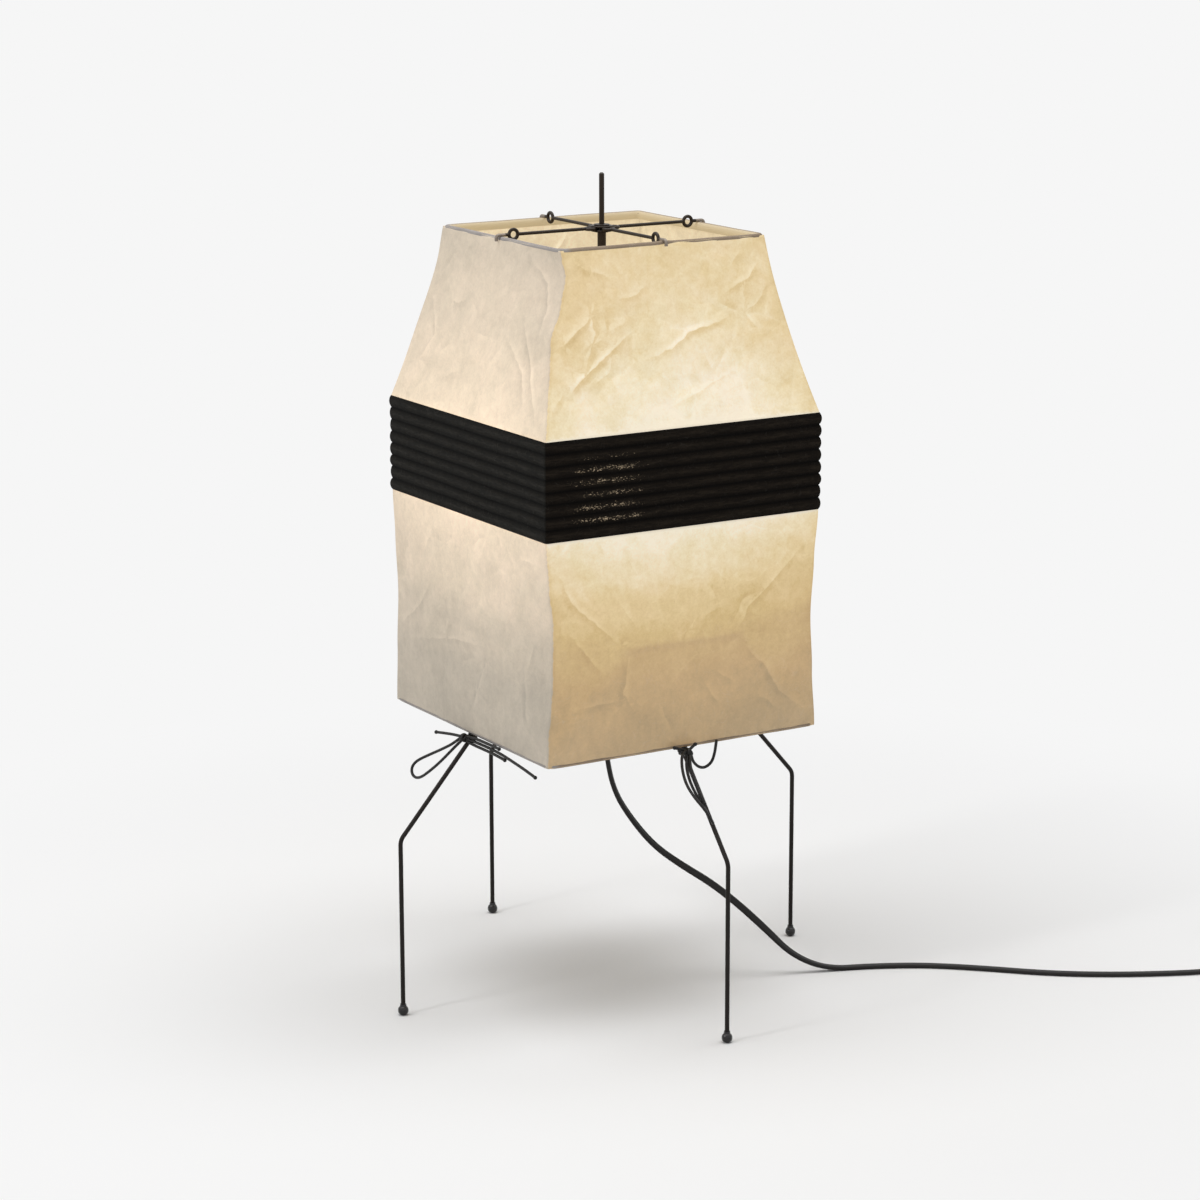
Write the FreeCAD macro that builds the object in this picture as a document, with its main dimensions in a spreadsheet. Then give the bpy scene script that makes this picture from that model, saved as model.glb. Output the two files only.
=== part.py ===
# Andon floor lamp: a square paper shade with a ribbed black band on four bent wire legs.
# Millimetres, +Z up, origin on the floor under the lamp's axis. The legs stand on -X, +X, -Y and +Y.
import FreeCAD, Part
import math
import os
import re
import Sketcher
from FreeCAD import Placement, Rotation, Vector

# Driving sizes
SIZES = {
    # Legs: bent wire from a foot up to the hub under the shade
    "foot_reach": 181.3,
    "knee_height": 141.3,
    "knee_bend": 10.0,
    "shoulder_bend": 12.0,
    "leg_wire": 3.5,
    "leg_end_reach": 8.0,
    "leg_frame_gap": 0.15,
    # Feet: turned beads with a blind bore for the leg
    "foot_width": 8.2,
    "foot_flat": 3.2,
    "foot_round": 3.6,
    "foot_band": 0.6,
    "foot_shoulder_width": 5.4,
    "foot_height": 9.0,
    "foot_neck": 4.6,
    "foot_bore_floor": 3.6,
    # Hub and the threaded tube through it
    "hub_level": 295.0,
    "hub_height": 12.0,
    "hub_width": 30.0,
    "hub_edge": 1.2,
    "seat_play": 0.1,
    "nipple_width": 10.0,
    "nipple_bore": 7.0,
    "nipple_drop": 9.0,
    "nipple_rise": 7.0,
    "nut_across": 14.0,
    "nut_height": 3.5,
    "relief_length": 23.5,
    "relief_width": 12.4,
    "relief_tip": 7.0,
    # Lamp holder
    "holder_width": 36.0,
    "holder_wall": 1.6,
    "cap_height": 18.0,
    "cap_bevel": 6.0,
    "cap_floor": 2.4,
    "insert_height": 14.0,
    "sleeve_height": 27.0,
    "shell_play": 0.6,
    "screw_shell_wall": 0.5,
    "screw_shell_height": 25.6,
    "screw_shell_mouth": 14.0,
    "contact_width": 6.4,
    "contact_height": 2.6,
    # Bulb
    "bulb_clearance": 0.3,
    "button_width": 8.4,
    "button_height": 1.7,
    "insulator_height": 4.0,
    "insulator_width": 19.0,
    "thread_width": 26.2,
    "thread_depth": 0.8,
    "thread_pitch": 3.6,
    "thread_turns": 5,
    "bulb_skirt": 3.0,
    "globe_width": 60.0,
    "globe_rise": 44.0,
    "neck_width": 25.2,
    "neck_swell_width": 27.4,
    "neck_swell_rise": 10.0,
    "globe_joint_drop": 24.0,
    "glass_wall": 1.0,
    # Harp round the bulb, and the mast that it carries
    "harp_wire": 3.2,
    "harp_reach": 45.0,
    "harp_headroom": 49.0,
    "harp_bend": 10.0,
    "harp_shoulder_bend": 22.0,
    "harp_end_reach": 5.4,
    "saddle_width": 18.0,
    "saddle_height": 9.0,
    "mast_width": 6.6,
    "mast_drop": 7.0,
    "mast_step": 0.5,
    "pin_width": 4.0,
    "pin_socket": 40.0,
    "pin_rise": 45.5,
    # Shade frames and paper
    "top_half": 90.0,
    "top_level": 596.7,
    "band_half": 120.7,
    "band_top": 464.0,
    "band_bottom": 388.9,
    "bottom_inset": 0.7,
    "bottom_level": 219.5,
    "frame_wire": 2.8,
    "frame_corner": 5.0,
    "frame_gap": 0.3,
    "paper_wall": 0.7,
    "paper_corner": 3.5,
    "upper_hollow": 3.5,
    "waist_level": 312.0,
    "waist_pull": 3.4,
    "ridge_half": 56.0,
    "ridge_push": 1.0,
    "pleat_bulge": 1.5,
    "rib_wire": 1.4,
    # Spider over the top frame
    "arm_wire": 2.6,
    "eye_inset": 12.5,
    "eye_radius": 3.7,
    "hook_bend": 2.2,
    "hook_play": 0.9,
    "hook_drop": 4.2,
    "spider_gap": 0.2,
    "arm_frame_gap": 0.3,
    "spider_plate": 3.2,
    "spider_centre": 15.0,
    "petal_reach": 10.2,
    "petal_width": 10.6,
    "petal_hole": 4.8,
    "collar_width": 10.4,
    # Ties between the shade's bottom frame and the legs
    "tie_wire": 2.3,
    "tie_wrap_drop": 5.2,
    "knot_gap": 0.8,
    "knot_drop": 4.6,
    "knot_size": 7.0,
    # Cord, with its switch and plug
    "cord_width": 4.6,
    "cord_heading": -31.12,
    "coil_inner": 20.0,
    "coil_space": 1.3,
    "coil_lift": 1.2,
    "coil_layer_gap": 0.8,
    "strap_wall": 0.5,
    "strap_play": 0.6,
    "strap_width": 5.0,
    "switch_length": 62.0,
    "switch_width": 26.0,
    "switch_height": 16.0,
    "switch_wall": 1.6,
    "switch_corner": 7.0,
    "switch_edge": 1.6,
    "rocker_length": 15.6,
    "rocker_width": 10.0,
    "rocker_play": 0.5,
    "rocker_end_play": 1.5,
    "rocker_axis_height": 9.0,
    "rocker_belly": 6.0,
    "rocker_valley": 7.2,
    "rocker_ear": 8.4,
    "rocker_tilt": 7.0,
    "screw_reach": 23.0,
    "screw_head": 4.4,
    "screw_shank": 2.4,
    "screw_head_height": 1.4,
    "screw_length": 10.0,
    "screw_post": 6.4,
    "plug_length": 32.0,
    "plug_width": 25.0,
    "plug_neck": 13.0,
    "plug_shoulder": 12.0,
    "plug_height": 16.4,
    "plug_edge": 3.0,
    "blade_length": 17.0,
    "blade_width": 6.3,
    "blade_wall": 1.5,
    "blade_spread": 12.7,
}

# Sizes that follow from the driving sizes
WORKED_OUT = {
    "foot_eye": "foot_width / 2 - foot_round",
    "foot_waist": "sqrt(foot_round ^ 2 - (foot_flat / 2 - foot_eye) ^ 2)",
    "foot_rise": "sqrt(foot_round ^ 2 - (foot_shoulder_width / 2 - foot_eye) ^ 2)",
    "foot_shoulder_height": "foot_waist + foot_band + foot_rise",
    "hub_top": "hub_level + hub_height / 2",
    "hub_underside": "hub_level - hub_height / 2",
    "nut_underside": "hub_underside - nut_height",
    "relief_underside": "nut_underside - relief_length",
    "bottom_half": "band_half - bottom_inset",
    "frame_centre": "bottom_half - paper_wall - frame_gap - frame_wire / 2",
    "frame_contact": "leg_wire / 2 + frame_wire / 2 + leg_frame_gap",
    "leg_run": "foot_reach - frame_centre",
    "leg_rise": "bottom_level - knee_height",
    "leg_lean": "atan(leg_run / leg_rise) + asin(frame_contact / sqrt(leg_run ^ 2 + leg_rise ^ 2))",
    "shoulder_reach": "foot_reach - (hub_level - knee_height) * tan(leg_lean)",
    "cap_top": "hub_top + cap_height",
    "insert_bottom": "hub_top + cap_floor",
    "insert_top": "insert_bottom + insert_height",
    "contact_top": "insert_top + contact_height",
    "button_bottom": "contact_top + bulb_clearance",
    "insulator_bottom": "button_bottom + button_height",
    "thread_bottom": "insulator_bottom + insulator_height",
    "thread_top": "thread_bottom + thread_pitch * thread_turns",
    "neck_level": "thread_top + bulb_skirt",
    "globe_level": "neck_level + globe_rise",
    "shell_width": "thread_width + 2 * (shell_play + screw_shell_wall)",
    "harp_level": "globe_level + globe_width / 2 + harp_headroom",
    "saddle_top": "harp_level + saddle_height / 2",
    "saddle_underside": "harp_level - saddle_height / 2",
    "mast_bottom": "harp_level - mast_drop",
    "mast_top": "top_level - mast_step",
    "mast_bore": "pin_width + 2 * seat_play",
    "pin_top": "mast_top + pin_rise",
    "tie_level": "bottom_level - tie_wrap_drop",
    "tie_wrap_reach": "foot_reach - (tie_level - knee_height) * tan(leg_lean)",
    "tie_wrap_radius": "leg_wire / 2 + seat_play + tie_wire / 2",
    "knot_level": "bottom_level - knot_drop",
    "leg_at_knot": "foot_reach - (knot_level - knee_height) * tan(leg_lean)",
    "knot_centre": "leg_at_knot + (leg_wire + knot_size) / 2 / cos(leg_lean) + knot_gap",
    "arm_level": "top_level + frame_wire / 2 + arm_frame_gap + arm_wire / 2",
    "eye_reach": "top_half - eye_inset",
    "hook_reach": "top_half + hook_play + arm_wire / 2 - eye_reach",
    "plate_bottom": "arm_level - spider_plate / 2",
    "collar_bottom": "mast_top + spider_gap",
    "spider_bore": "pin_width + 2 * spider_gap",
    "coil_pitch": "cord_width + coil_space",
    "coil_level": "cord_width / 2 + coil_lift",
    "coil_top_level": "coil_level + cord_width + coil_layer_gap",
    "strap_near": "coil_inner + coil_pitch / 4 - cord_width / 2 - strap_play",
    "strap_far": "coil_inner + coil_pitch * 9 / 4 + cord_width / 2 + strap_play",
    "strap_low": "coil_level - cord_width / 2 - strap_play",
    "strap_high": "coil_top_level + cord_width / 2 + strap_play",
    "switch_mid": "switch_height / 2",
    "screw_seat": "seat_play + screw_head_height",
}

# The hanging cord as along, across and a share of the relief's height, in the plane it hangs in
CORD_HANG = [
    (0, 0, 1),
    (0, 0, 0.908),
    (0.4, 0, 0.802),
    (2, 0, 0.687),
    (9, 0, 0.58),
    (23, 0, 0.492),
    (41, 0, 0.408),
    (63, 0, 0.347),
    (86, 0, 0.292),
    (108, 0, 0.223),
    (130, 0, 0.143),
    (152, 1, 0.056),
]
# The cord on the floor as along and across, up to where it lifts to the switch
CORD_FLOOR = [
    (180, 5),
    (216, 12),
    (260, 14),
    (306, 6),
    (354, -6),
    (402, -10),
    (448, -8),
    (488, -3),
    (517, 16),
    (528, 40),
]
# Steps across from the floor to the switch, from the switch to the coil, and from the coil to the plug
SWITCH_STEPS = (18, 30)
LEAD_STEPS = (0, 8, 24, 32)
PLUG_STEPS = (0, -8, -24, -32)
COIL_HALF_TURNS = 11
ARC_SHARE = 0.45

# Each tie's strands as out from the knot, along the frame, and up
TIE_BAR = [(0, 0, 0.8), (-2.2, 9, 2.0), (-3.0, 30, 2.3), (-3.0, 50, 2.3)]
TIE_BAR_UNDER = [
    (0, 0, -1.4),
    (-1.8, 9, -3.5),
    (-2.6, 28, -3.5),
    (-2.8, 46, -3.6),
    (-2.8, 59, -4.3),
]
TIE_BAR_TAIL = [
    (0, 0, -0.2),
    (-2.2, 9, -0.8),
    (-3.0, 30, -0.6),
    (-3.0, 48, -0.8),
    (-2.8, 62, -1.6),
    (-2.4, 77, -2.8),
    (-2.2, 92, -4.2),
    (-1.6, 107, -5.9),
]
TIE_LEFT_TAIL = [(0, 0, 0.4), (2.4, -9, 0.4), (4.8, -20, -0.6), (6.8, -32, -2.2)]
TIE_TEARDROP = [
    (0.4, -1.2, 1.0),
    (3.4, -9.0, -6.0),
    (7.0, -22.0, -13.4),
    (10.3, -36.2, -20.7),
    (13.2, -46.4, -26.2),
    (15.6, -52.0, -30.4),
    (17.4, -54.0, -35.2),
    (18.4, -51.2, -39.4),
    (18.2, -45.4, -41.0),
    (17.0, -38.4, -38.6),
    (15.4, -30.0, -32.8),
    (13.0, -22.0, -26.2),
    (10.0, -15.6, -19.6),
    (6.8, -9.6, -12.6),
    (3.2, -4.4, -6.0),
    (0.4, -1.2, -1.8),
]
TIE_HANGING_LOOP = [
    (0.6, -2.0, 1.2),
    (3.4, -7.0, 1.4),
    (8.6, -11.4, -3.2),
    (14.6, -14.0, -10.8),
    (20.6, -14.6, -17.2),
    (27.4, -12.8, -22.8),
    (33.8, -9.2, -27.9),
    (37.2, -8.2, -32.0),
    (37.2, -5.7, -36.2),
    (33.9, -2.8, -38.6),
    (29.4, -1.4, -37.7),
    (25.6, -2.1, -33.8),
    (21.0, -6.0, -26.0),
    (17.0, -7.1, -21.0),
    (13.2, -7.7, -15.2),
    (8.0, -6.6, -8.8),
    (3.4, -3.4, -3.6),
    (0.6, 0.2, -1.2),
]
TIE_HANGING_TAIL = [
    (0.6, 0.4, -0.6),
    (5.4, -1.9, -3.0),
    (9.9, -4.2, -8.6),
    (15.0, -4.9, -15.4),
    (20.4, -4.4, -22.3),
    (24.6, -3.4, -27.4),
]
TIE_SIDE_LOOP = [
    (0, 1, 0.6),
    (-1.4, 3.6, -2.6),
    (-3.4, 6.6, -9.4),
    (-5.3, 13.0, -15.2),
    (-5.8, 19.4, -16.6),
    (-4.6, 24.6, -12.6),
    (-2.7, 25.8, -5.2),
    (-0.8, 25.6, 1.6),
    (0.2, 25.4, 5.6),
]
TIE_CORNER_STRAND = [(0, 0, 0.6), (-0.6, -5.0, 2.6), (0.0, -12.2, 5.0)]
TIE_HOOK_STRAND = [(0, 0, 0.6), (-0.4, 2.6, 2.6), (0.0, 6.4, 5.2)]
TIE_SHORT_LOOP = [
    (0.6, 1, 1.3),
    (2.2, 8, -0.5),
    (4.2, 16.5, -6.0),
    (5.4, 21.5, -14.0),
    (5.6, 19.6, -21.5),
    (4.2, 12.6, -22.6),
    (2.6, 6.6, -16.0),
    (1.2, 2.8, -8.0),
    (0, 1.2, -1.5),
]
TIE_SHORT_TAIL = [(0, 0, 0), (2.0, 2.4, -6), (2.6, 5.6, -13), (2.2, 7.6, -21)]

LEG_ANGLES = {"left": 180, "back": 90, "front": 270, "right": 0}
HARP_TURN = 45
HARP_ANGLES = {"front": HARP_TURN + 180, "back": HARP_TURN}
PLEATS = 8
PAPER_STAGES = 6
THREAD_ROOT_SHARE = 0.3
THREAD_CREST_SHARE = 0.8
BEAD_SHARE = 1.35
NEIGHBOUR_WIDTHS = 3
TINY = 0.01
UP = Vector(0, 0, 1)
# How a sketch numbers its axes, and the points of a line or arc
H_AXIS, V_AXIS = -1, -2
START, END, CENTRE = 1, 2, 3
ROOT = START

doc = FreeCAD.newDocument("AndonLamp")
sheet = doc.addObject("Spreadsheet::Sheet", "Sizes")
for row, (name, worth) in enumerate([*SIZES.items(), *WORKED_OUT.items()], start=1):
    sheet.set("A%d" % row, name)
    sheet.set("B%d" % row, str(worth) if name in SIZES else "=" + worth)
    sheet.setAlias("B%d" % row, name)
doc.recompute()


# Shared helpers

def bound(expression):
    """The expression with each size written as its cell in the sheet."""
    def cell(found):
        word = found.group()
        return "Sizes." + word if word in SIZES or word in WORKED_OUT else word
    return re.sub(r"[a-z][a-z_0-9]*", cell, expression)


def number(expression):
    """What an expression of sizes comes to, as a plain number."""
    return float(sheet.evalExpression(bound(expression)))


def new_body(label):
    body = doc.addObject("PartDesign::Body", label)
    body.Label = label
    return body


def new_sketch(body, name, plane_role, offset="0", turn=0):
    """A sketch on one of the body's own planes, set off along its normal, or turned about its upright."""
    sketch = body.newObject("Sketcher::SketchObject", name)
    plane = next(f for f in body.Origin.OriginFeatures if f.Role == plane_role)
    sketch.AttachmentSupport = [(plane, "")]
    sketch.MapMode = "FlatFace"
    about = Rotation(Vector(0, 1, 0), turn)
    sketch.AttachmentOffset = Placement(about.multVec(Vector(0, 0, number(offset))), about)
    if offset != "0" and not turn:
        sketch.setExpression("AttachmentOffset.Base.z", bound(offset))
    return sketch


def pin(sketch, part, end, across, up):
    """Ties a point of the sketch to its place, given as two expressions of sizes."""
    for kind, axis, place in (("DistanceX", V_AXIS, across), ("DistanceY", H_AXIS, up)):
        if place == "0":
            sketch.addConstraint(Sketcher.Constraint("PointOnObject", part, end, axis))
        else:
            row = sketch.addConstraint(Sketcher.Constraint(kind, H_AXIS, ROOT, part, end, number(place)))
            sketch.setExpression("Constraints[%d]" % row, bound(place))


def spot(corner):
    return Vector(number(corner[0]), number(corner[1]), 0)


def add_arc(sketch, first, by_way, last):
    """An arc, drawn anticlockwise as sketches keep them, with the names of its first and last ends."""
    if (by_way - first).cross(last - by_way).z > 0:
        return sketch.addGeometry(Part.Arc(first, by_way, last)), START, END
    return sketch.addGeometry(Part.Arc(last, by_way, first)), END, START


def outline(sketch, corners):
    """A closed outline through the corners. A corner with a third item is reached by an arc through it."""
    ends = []
    for start, end in zip(corners, corners[1:] + corners[:1]):
        first, last = spot(start), spot(end)
        if len(end) == 3:
            arc = add_arc(sketch, first, spot(end[2]), last)
            by_way = sketch.addGeometry(Part.Point(spot(end[2])), True)
            pin(sketch, by_way, START, *end[2])
            sketch.addConstraint(Sketcher.Constraint("PointOnObject", by_way, START, arc[0]))
            ends.append(arc)
        else:
            part = sketch.addGeometry(Part.LineSegment(first, last))
            ends.append((part, START, END))
    for (part, first, last), following, start in zip(ends, ends[1:] + ends[:1], corners):
        pin(sketch, part, first, start[0], start[1])
        sketch.addConstraint(Sketcher.Constraint("Coincident", part, last, following[0], following[1]))


def circle(sketch, across, up, radius):
    part = sketch.addGeometry(Part.Circle(spot((across, up)), UP, number(radius)))
    pin(sketch, part, CENTRE, across, up)
    row = sketch.addConstraint(Sketcher.Constraint("Radius", part, number(radius)))
    sketch.setExpression("Constraints[%d]" % row, bound(radius))


def bent_path(sketch, corners, bends, closed=False):
    """Straight runs between the corners, with a tangent arc of its own radius at each bend."""
    places = [spot(c) for c in corners]
    count = len(places)
    bend_at = dict(zip(range(count) if closed else range(1, count - 1), bends))
    cuts = {}
    for k, bend in bend_at.items():
        back = (places[k - 1] - places[k]).normalize()
        ahead = (places[(k + 1) % count] - places[k]).normalize()
        half = back.getAngle(ahead) / 2
        radius = number(bend)
        reach = radius / math.tan(half)
        inward = (back + ahead).normalize()
        deepest = places[k] + inward * (radius / math.sin(half) - radius)
        cuts[k] = (places[k] + back * reach, deepest, places[k] + ahead * reach)
    runs = []
    for k in range(count if closed else count - 1):
        following = (k + 1) % count
        first = cuts[k][2] if k in cuts else places[k]
        last = cuts[following][0] if following in cuts else places[following]
        runs.append(sketch.addGeometry(Part.LineSegment(first, last)))
    for k, bend in bend_at.items():
        arc, first, last = add_arc(sketch, *cuts[k])
        before, after = runs[k - 1], runs[k]
        sketch.addConstraint(Sketcher.Constraint("Tangent", before, END, arc, first))
        sketch.addConstraint(Sketcher.Constraint("Tangent", arc, last, after, START))
        row = sketch.addConstraint(Sketcher.Constraint("Radius", arc, number(bend)))
        sketch.setExpression("Constraints[%d]" % row, bound(bend))
        corner = sketch.addGeometry(Part.Point(places[k]), True)
        pin(sketch, corner, START, *corners[k])
        sketch.addConstraint(Sketcher.Constraint("PointOnObject", corner, START, before))
        sketch.addConstraint(Sketcher.Constraint("PointOnObject", corner, START, after))
    if not closed:
        pin(sketch, runs[0], START, *corners[0])
        pin(sketch, runs[-1], END, *corners[-1])


def revolve(body, name, corners):
    """A round solid from its half outline, given as radius and height."""
    sketch = new_sketch(body, name + "Outline", "XZ_Plane")
    outline(sketch, corners)
    turned = body.newObject("PartDesign::Revolution", name)
    turned.Profile = sketch
    turned.ReferenceAxis = (sketch, ["V_Axis"])
    turned.Angle = 360
    return turned


def pad(body, name, sketch, length, reversed_pad=False):
    feature = body.newObject("PartDesign::Pad", name)
    feature.Profile = sketch
    feature.setExpression("Length", bound(length))
    feature.Reversed = reversed_pad
    return feature


def pocket(body, name, sketch, length, reversed_pocket=False):
    """A pocket that has to take material away."""
    doc.recompute()
    before = body.Shape.Volume
    feature = body.newObject("PartDesign::Pocket", name)
    feature.Profile = sketch
    feature.setExpression("Length", bound(length))
    feature.Reversed = reversed_pocket
    doc.recompute()
    if not body.Shape.Volume < before:
        raise ValueError(name + " cuts nothing")
    return feature


def pipe(body, name, path, section):
    feature = body.newObject("PartDesign::AdditivePipe", name)
    feature.Profile = section
    feature.Spine = (path, [])
    return feature


def around(body, name, feature, copies):
    """The feature repeated about the body's upright axis."""
    pattern = body.newObject("PartDesign::PolarPattern", name)
    pattern.Originals = [feature]
    axis = next(f for f in body.Origin.OriginFeatures if f.Role == "Z_Axis")
    pattern.Axis = (axis, [""])
    pattern.Angle = 360
    pattern.Occurrences = copies
    body.Tip = pattern
    return pattern


def turn_to(thing, angle, reach="0", level="0"):
    """Places a piece at its angle round the lamp's axis, at a reach and a level."""
    thing.Placement = Placement(Vector(), Rotation(UP, angle))
    across, along = round(math.cos(math.radians(angle)), 6), round(math.sin(math.radians(angle)), 6)
    thing.setExpression("Placement.Base.x", "(%s) * %g" % (bound(reach), across))
    thing.setExpression("Placement.Base.y", "(%s) * %g" % (bound(reach), along))
    thing.setExpression("Placement.Base.z", bound(level))


def solid_piece(label, shape, place=None):
    """A piece whose form Part's own functions make."""
    piece = doc.addObject("Part::Feature", label)
    piece.Label = label
    piece.Shape = shape
    piece.Placement = place or Placement()
    return piece


# Wires and tubes along a route

def tangent_route(points, report=None):
    """Straight runs joined by tangent arcs, each as large as its two runs allow."""
    edges = []
    radii = []
    reached = points[0]
    for before, at, after in zip(points, points[1:], points[2:]):
        back, ahead = before - at, after - at
        turn = math.pi - back.getAngle(ahead)
        shorter = min(back.Length, ahead.Length)
        cut = ARC_SHARE * shorter
        radius = cut / math.tan(turn / 2)
        radii.append(radius)
        first, last = at + back.normalize() * cut, at + ahead.normalize() * cut
        inward = (first + last) * 0.5 - at
        deep = radius / math.cos(turn / 2) - radius
        deepest = at + inward.normalize() * deep
        edges.append(Part.LineSegment(reached, first).toShape())
        edges.append(Part.Arc(first, deepest, last).toShape())
        reached = last
    edges.append(Part.LineSegment(reached, points[-1]).toShape())
    if report:
        print(report, "radii", " ".join("%.0f" % r for r in radii), "least %.1f" % min(radii))
    return Part.Wire(edges)


def tube(wire, radius, report=None):
    """A round tube along a wire of tangent edges."""
    first = wire.Edges[0]
    heading = first.tangentAt(first.FirstParameter)
    ring = Part.Wire([Part.makeCircle(radius, first.valueAt(first.FirstParameter), heading)])
    made = wire.makePipeShell([ring], True, False)
    if report:
        expected = math.pi * radius ** 2 * wire.Length
        print(report, "length %.1f" % wire.Length, "volume share %.4f" % (made.Volume / expected))
    return made


def vectors(points):
    return [Vector(*p) for p in points]


# The stand: legs, feet, hub, holder, harp and mast

def make_leg(side, angle):
    body = new_body("leg_" + side)
    path = new_sketch(body, "LegPath" + side, "XZ_Plane")
    corners = [
        ("foot_reach", "foot_bore_floor"),
        ("foot_reach", "knee_height"),
        ("shoulder_reach", "hub_level"),
        ("leg_end_reach", "hub_level"),
    ]
    bent_path(path, corners, ["knee_bend", "shoulder_bend"])
    section = new_sketch(body, "LegSection" + side, "XY_Plane", "foot_bore_floor")
    circle(section, "foot_reach", "0", "leg_wire / 2")
    pipe(body, "LegWire" + side, path, section)
    turn_to(body, angle)


def make_foot(side, angle):
    body = new_body("foot_" + side)
    half_way = "foot_eye + foot_round * sqrt(0.5)"
    revolve(body, "Bead" + side, [
        ("0", "0"),
        ("foot_flat / 2", "0"),
        ("foot_width / 2", "foot_waist", (half_way, "foot_waist - foot_round * sqrt(0.5)")),
        ("foot_width / 2", "foot_waist + foot_band"),
        ("foot_shoulder_width / 2", "foot_shoulder_height",
         ("foot_eye + foot_round * cos(20 deg)", "foot_waist + foot_band + foot_round * sin(20 deg)")),
        ("foot_neck / 2", "foot_height"),
        ("leg_wire / 2 + seat_play", "foot_height"),
        ("leg_wire / 2 + seat_play", "foot_bore_floor"),
        ("0", "foot_bore_floor"),
    ])
    turn_to(body, angle, "foot_reach")


def make_hub():
    body = new_body("stand_hub")
    revolve(body, "HubDisc", [
        ("nipple_width / 2 + seat_play", "hub_underside"),
        ("hub_width / 2 - hub_edge", "hub_underside"),
        ("hub_width / 2", "hub_underside + hub_edge"),
        ("hub_width / 2", "hub_top - hub_edge"),
        ("hub_width / 2 - hub_edge", "hub_top"),
        ("nipple_width / 2 + seat_play", "hub_top"),
    ])
    leg_hole = new_sketch(body, "LegHoleSketch", "YZ_Plane", "leg_end_reach")
    circle(leg_hole, "0", "hub_level", "leg_wire / 2 + seat_play")
    legs = pocket(body, "LegHole", leg_hole, "hub_width", True)
    around(body, "LegHoles", legs, len(LEG_ANGLES))
    harp_hole = new_sketch(body, "HarpHoleSketch", "YZ_Plane", "leg_end_reach", HARP_TURN)
    circle(harp_hole, "0", "hub_level", "harp_wire / 2 + seat_play")
    harps = pocket(body, "HarpHole", harp_hole, "hub_width", True)
    around(body, "HarpHoles", harps, len(HARP_ANGLES))


def make_nipple():
    body = new_body("threaded_nipple")
    revolve(body, "Nipple", [
        ("nipple_bore / 2", "hub_underside - nipple_drop"),
        ("nipple_width / 2", "hub_underside - nipple_drop"),
        ("nipple_width / 2", "hub_top + nipple_rise"),
        ("nipple_bore / 2", "hub_top + nipple_rise"),
    ])


def make_nut():
    body = new_body("nipple_nut")
    sketch = new_sketch(body, "NutSketch", "XY_Plane", "nut_underside")
    corners = []
    for angle in range(30, 360, 60):
        reach = "nut_across / 2 / cos(30 deg)"
        corners.append(("%s * cos(%d deg)" % (reach, angle), "%s * sin(%d deg)" % (reach, angle)))
    outline(sketch, corners)
    circle(sketch, "0", "0", "nipple_width / 2 + seat_play")
    pad(body, "Nut", sketch, "nut_height")


def make_relief():
    body = new_body("cord_relief")
    revolve(body, "Relief", [
        ("0", "relief_underside"),
        ("relief_tip / 2", "relief_underside"),
        ("relief_width / 2", "nut_underside - nipple_drop + nut_height"),
        ("relief_width / 2", "nut_underside"),
        ("nipple_width / 2 + seat_play", "nut_underside"),
        ("nipple_width / 2 + seat_play", "hub_underside - nipple_drop"),
        ("0", "hub_underside - nipple_drop"),
    ])


def make_holder():
    cap = new_body("holder_cap")
    revolve(cap, "HolderCup", [
        ("nipple_width / 2 + seat_play", "hub_top"),
        ("holder_width / 2 - cap_bevel", "hub_top"),
        ("holder_width / 2", "hub_top + cap_bevel"),
        ("holder_width / 2", "cap_top"),
        ("holder_width / 2 - holder_wall", "cap_top"),
        ("holder_width / 2 - holder_wall", "hub_top + cap_bevel"),
        ("holder_width / 2 - cap_bevel + cap_floor - holder_wall", "insert_bottom"),
        ("nipple_width / 2 + seat_play", "insert_bottom"),
    ])
    insert = new_body("holder_insert")
    revolve(insert, "Porcelain", [
        ("0", "hub_top + nipple_rise + seat_play"),
        ("nipple_width / 2 + seat_play", "hub_top + nipple_rise + seat_play"),
        ("nipple_width / 2 + seat_play", "insert_bottom"),
        ("holder_width / 2 - cap_bevel", "insert_bottom"),
        ("holder_width / 2 - holder_wall - seat_play", "hub_top + cap_bevel + cap_floor"),
        ("holder_width / 2 - holder_wall - seat_play", "insert_top"),
        ("0", "insert_top"),
    ])
    sleeve = new_body("holder_sleeve")
    revolve(sleeve, "Sleeve", [
        ("holder_width / 2 - holder_wall", "cap_top"),
        ("holder_width / 2", "cap_top"),
        ("holder_width / 2", "cap_top + sleeve_height"),
        ("holder_width / 2 - holder_wall", "cap_top + sleeve_height"),
    ])
    shell = new_body("screw_shell")
    revolve(shell, "ScrewShell", [
        ("screw_shell_mouth / 2", "insert_top"),
        ("shell_width / 2", "insert_top"),
        ("shell_width / 2", "insert_top + screw_shell_height"),
        ("shell_width / 2 - screw_shell_wall", "insert_top + screw_shell_height"),
        ("shell_width / 2 - screw_shell_wall", "insert_top + screw_shell_wall"),
        ("screw_shell_mouth / 2", "insert_top + screw_shell_wall"),
    ])
    contact = new_body("centre_contact")
    revolve(contact, "Contact", [
        ("0", "insert_top"),
        ("contact_width / 2", "insert_top"),
        ("contact_width / 2 - screw_shell_wall", "contact_top"),
        ("0", "contact_top"),
    ])


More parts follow.
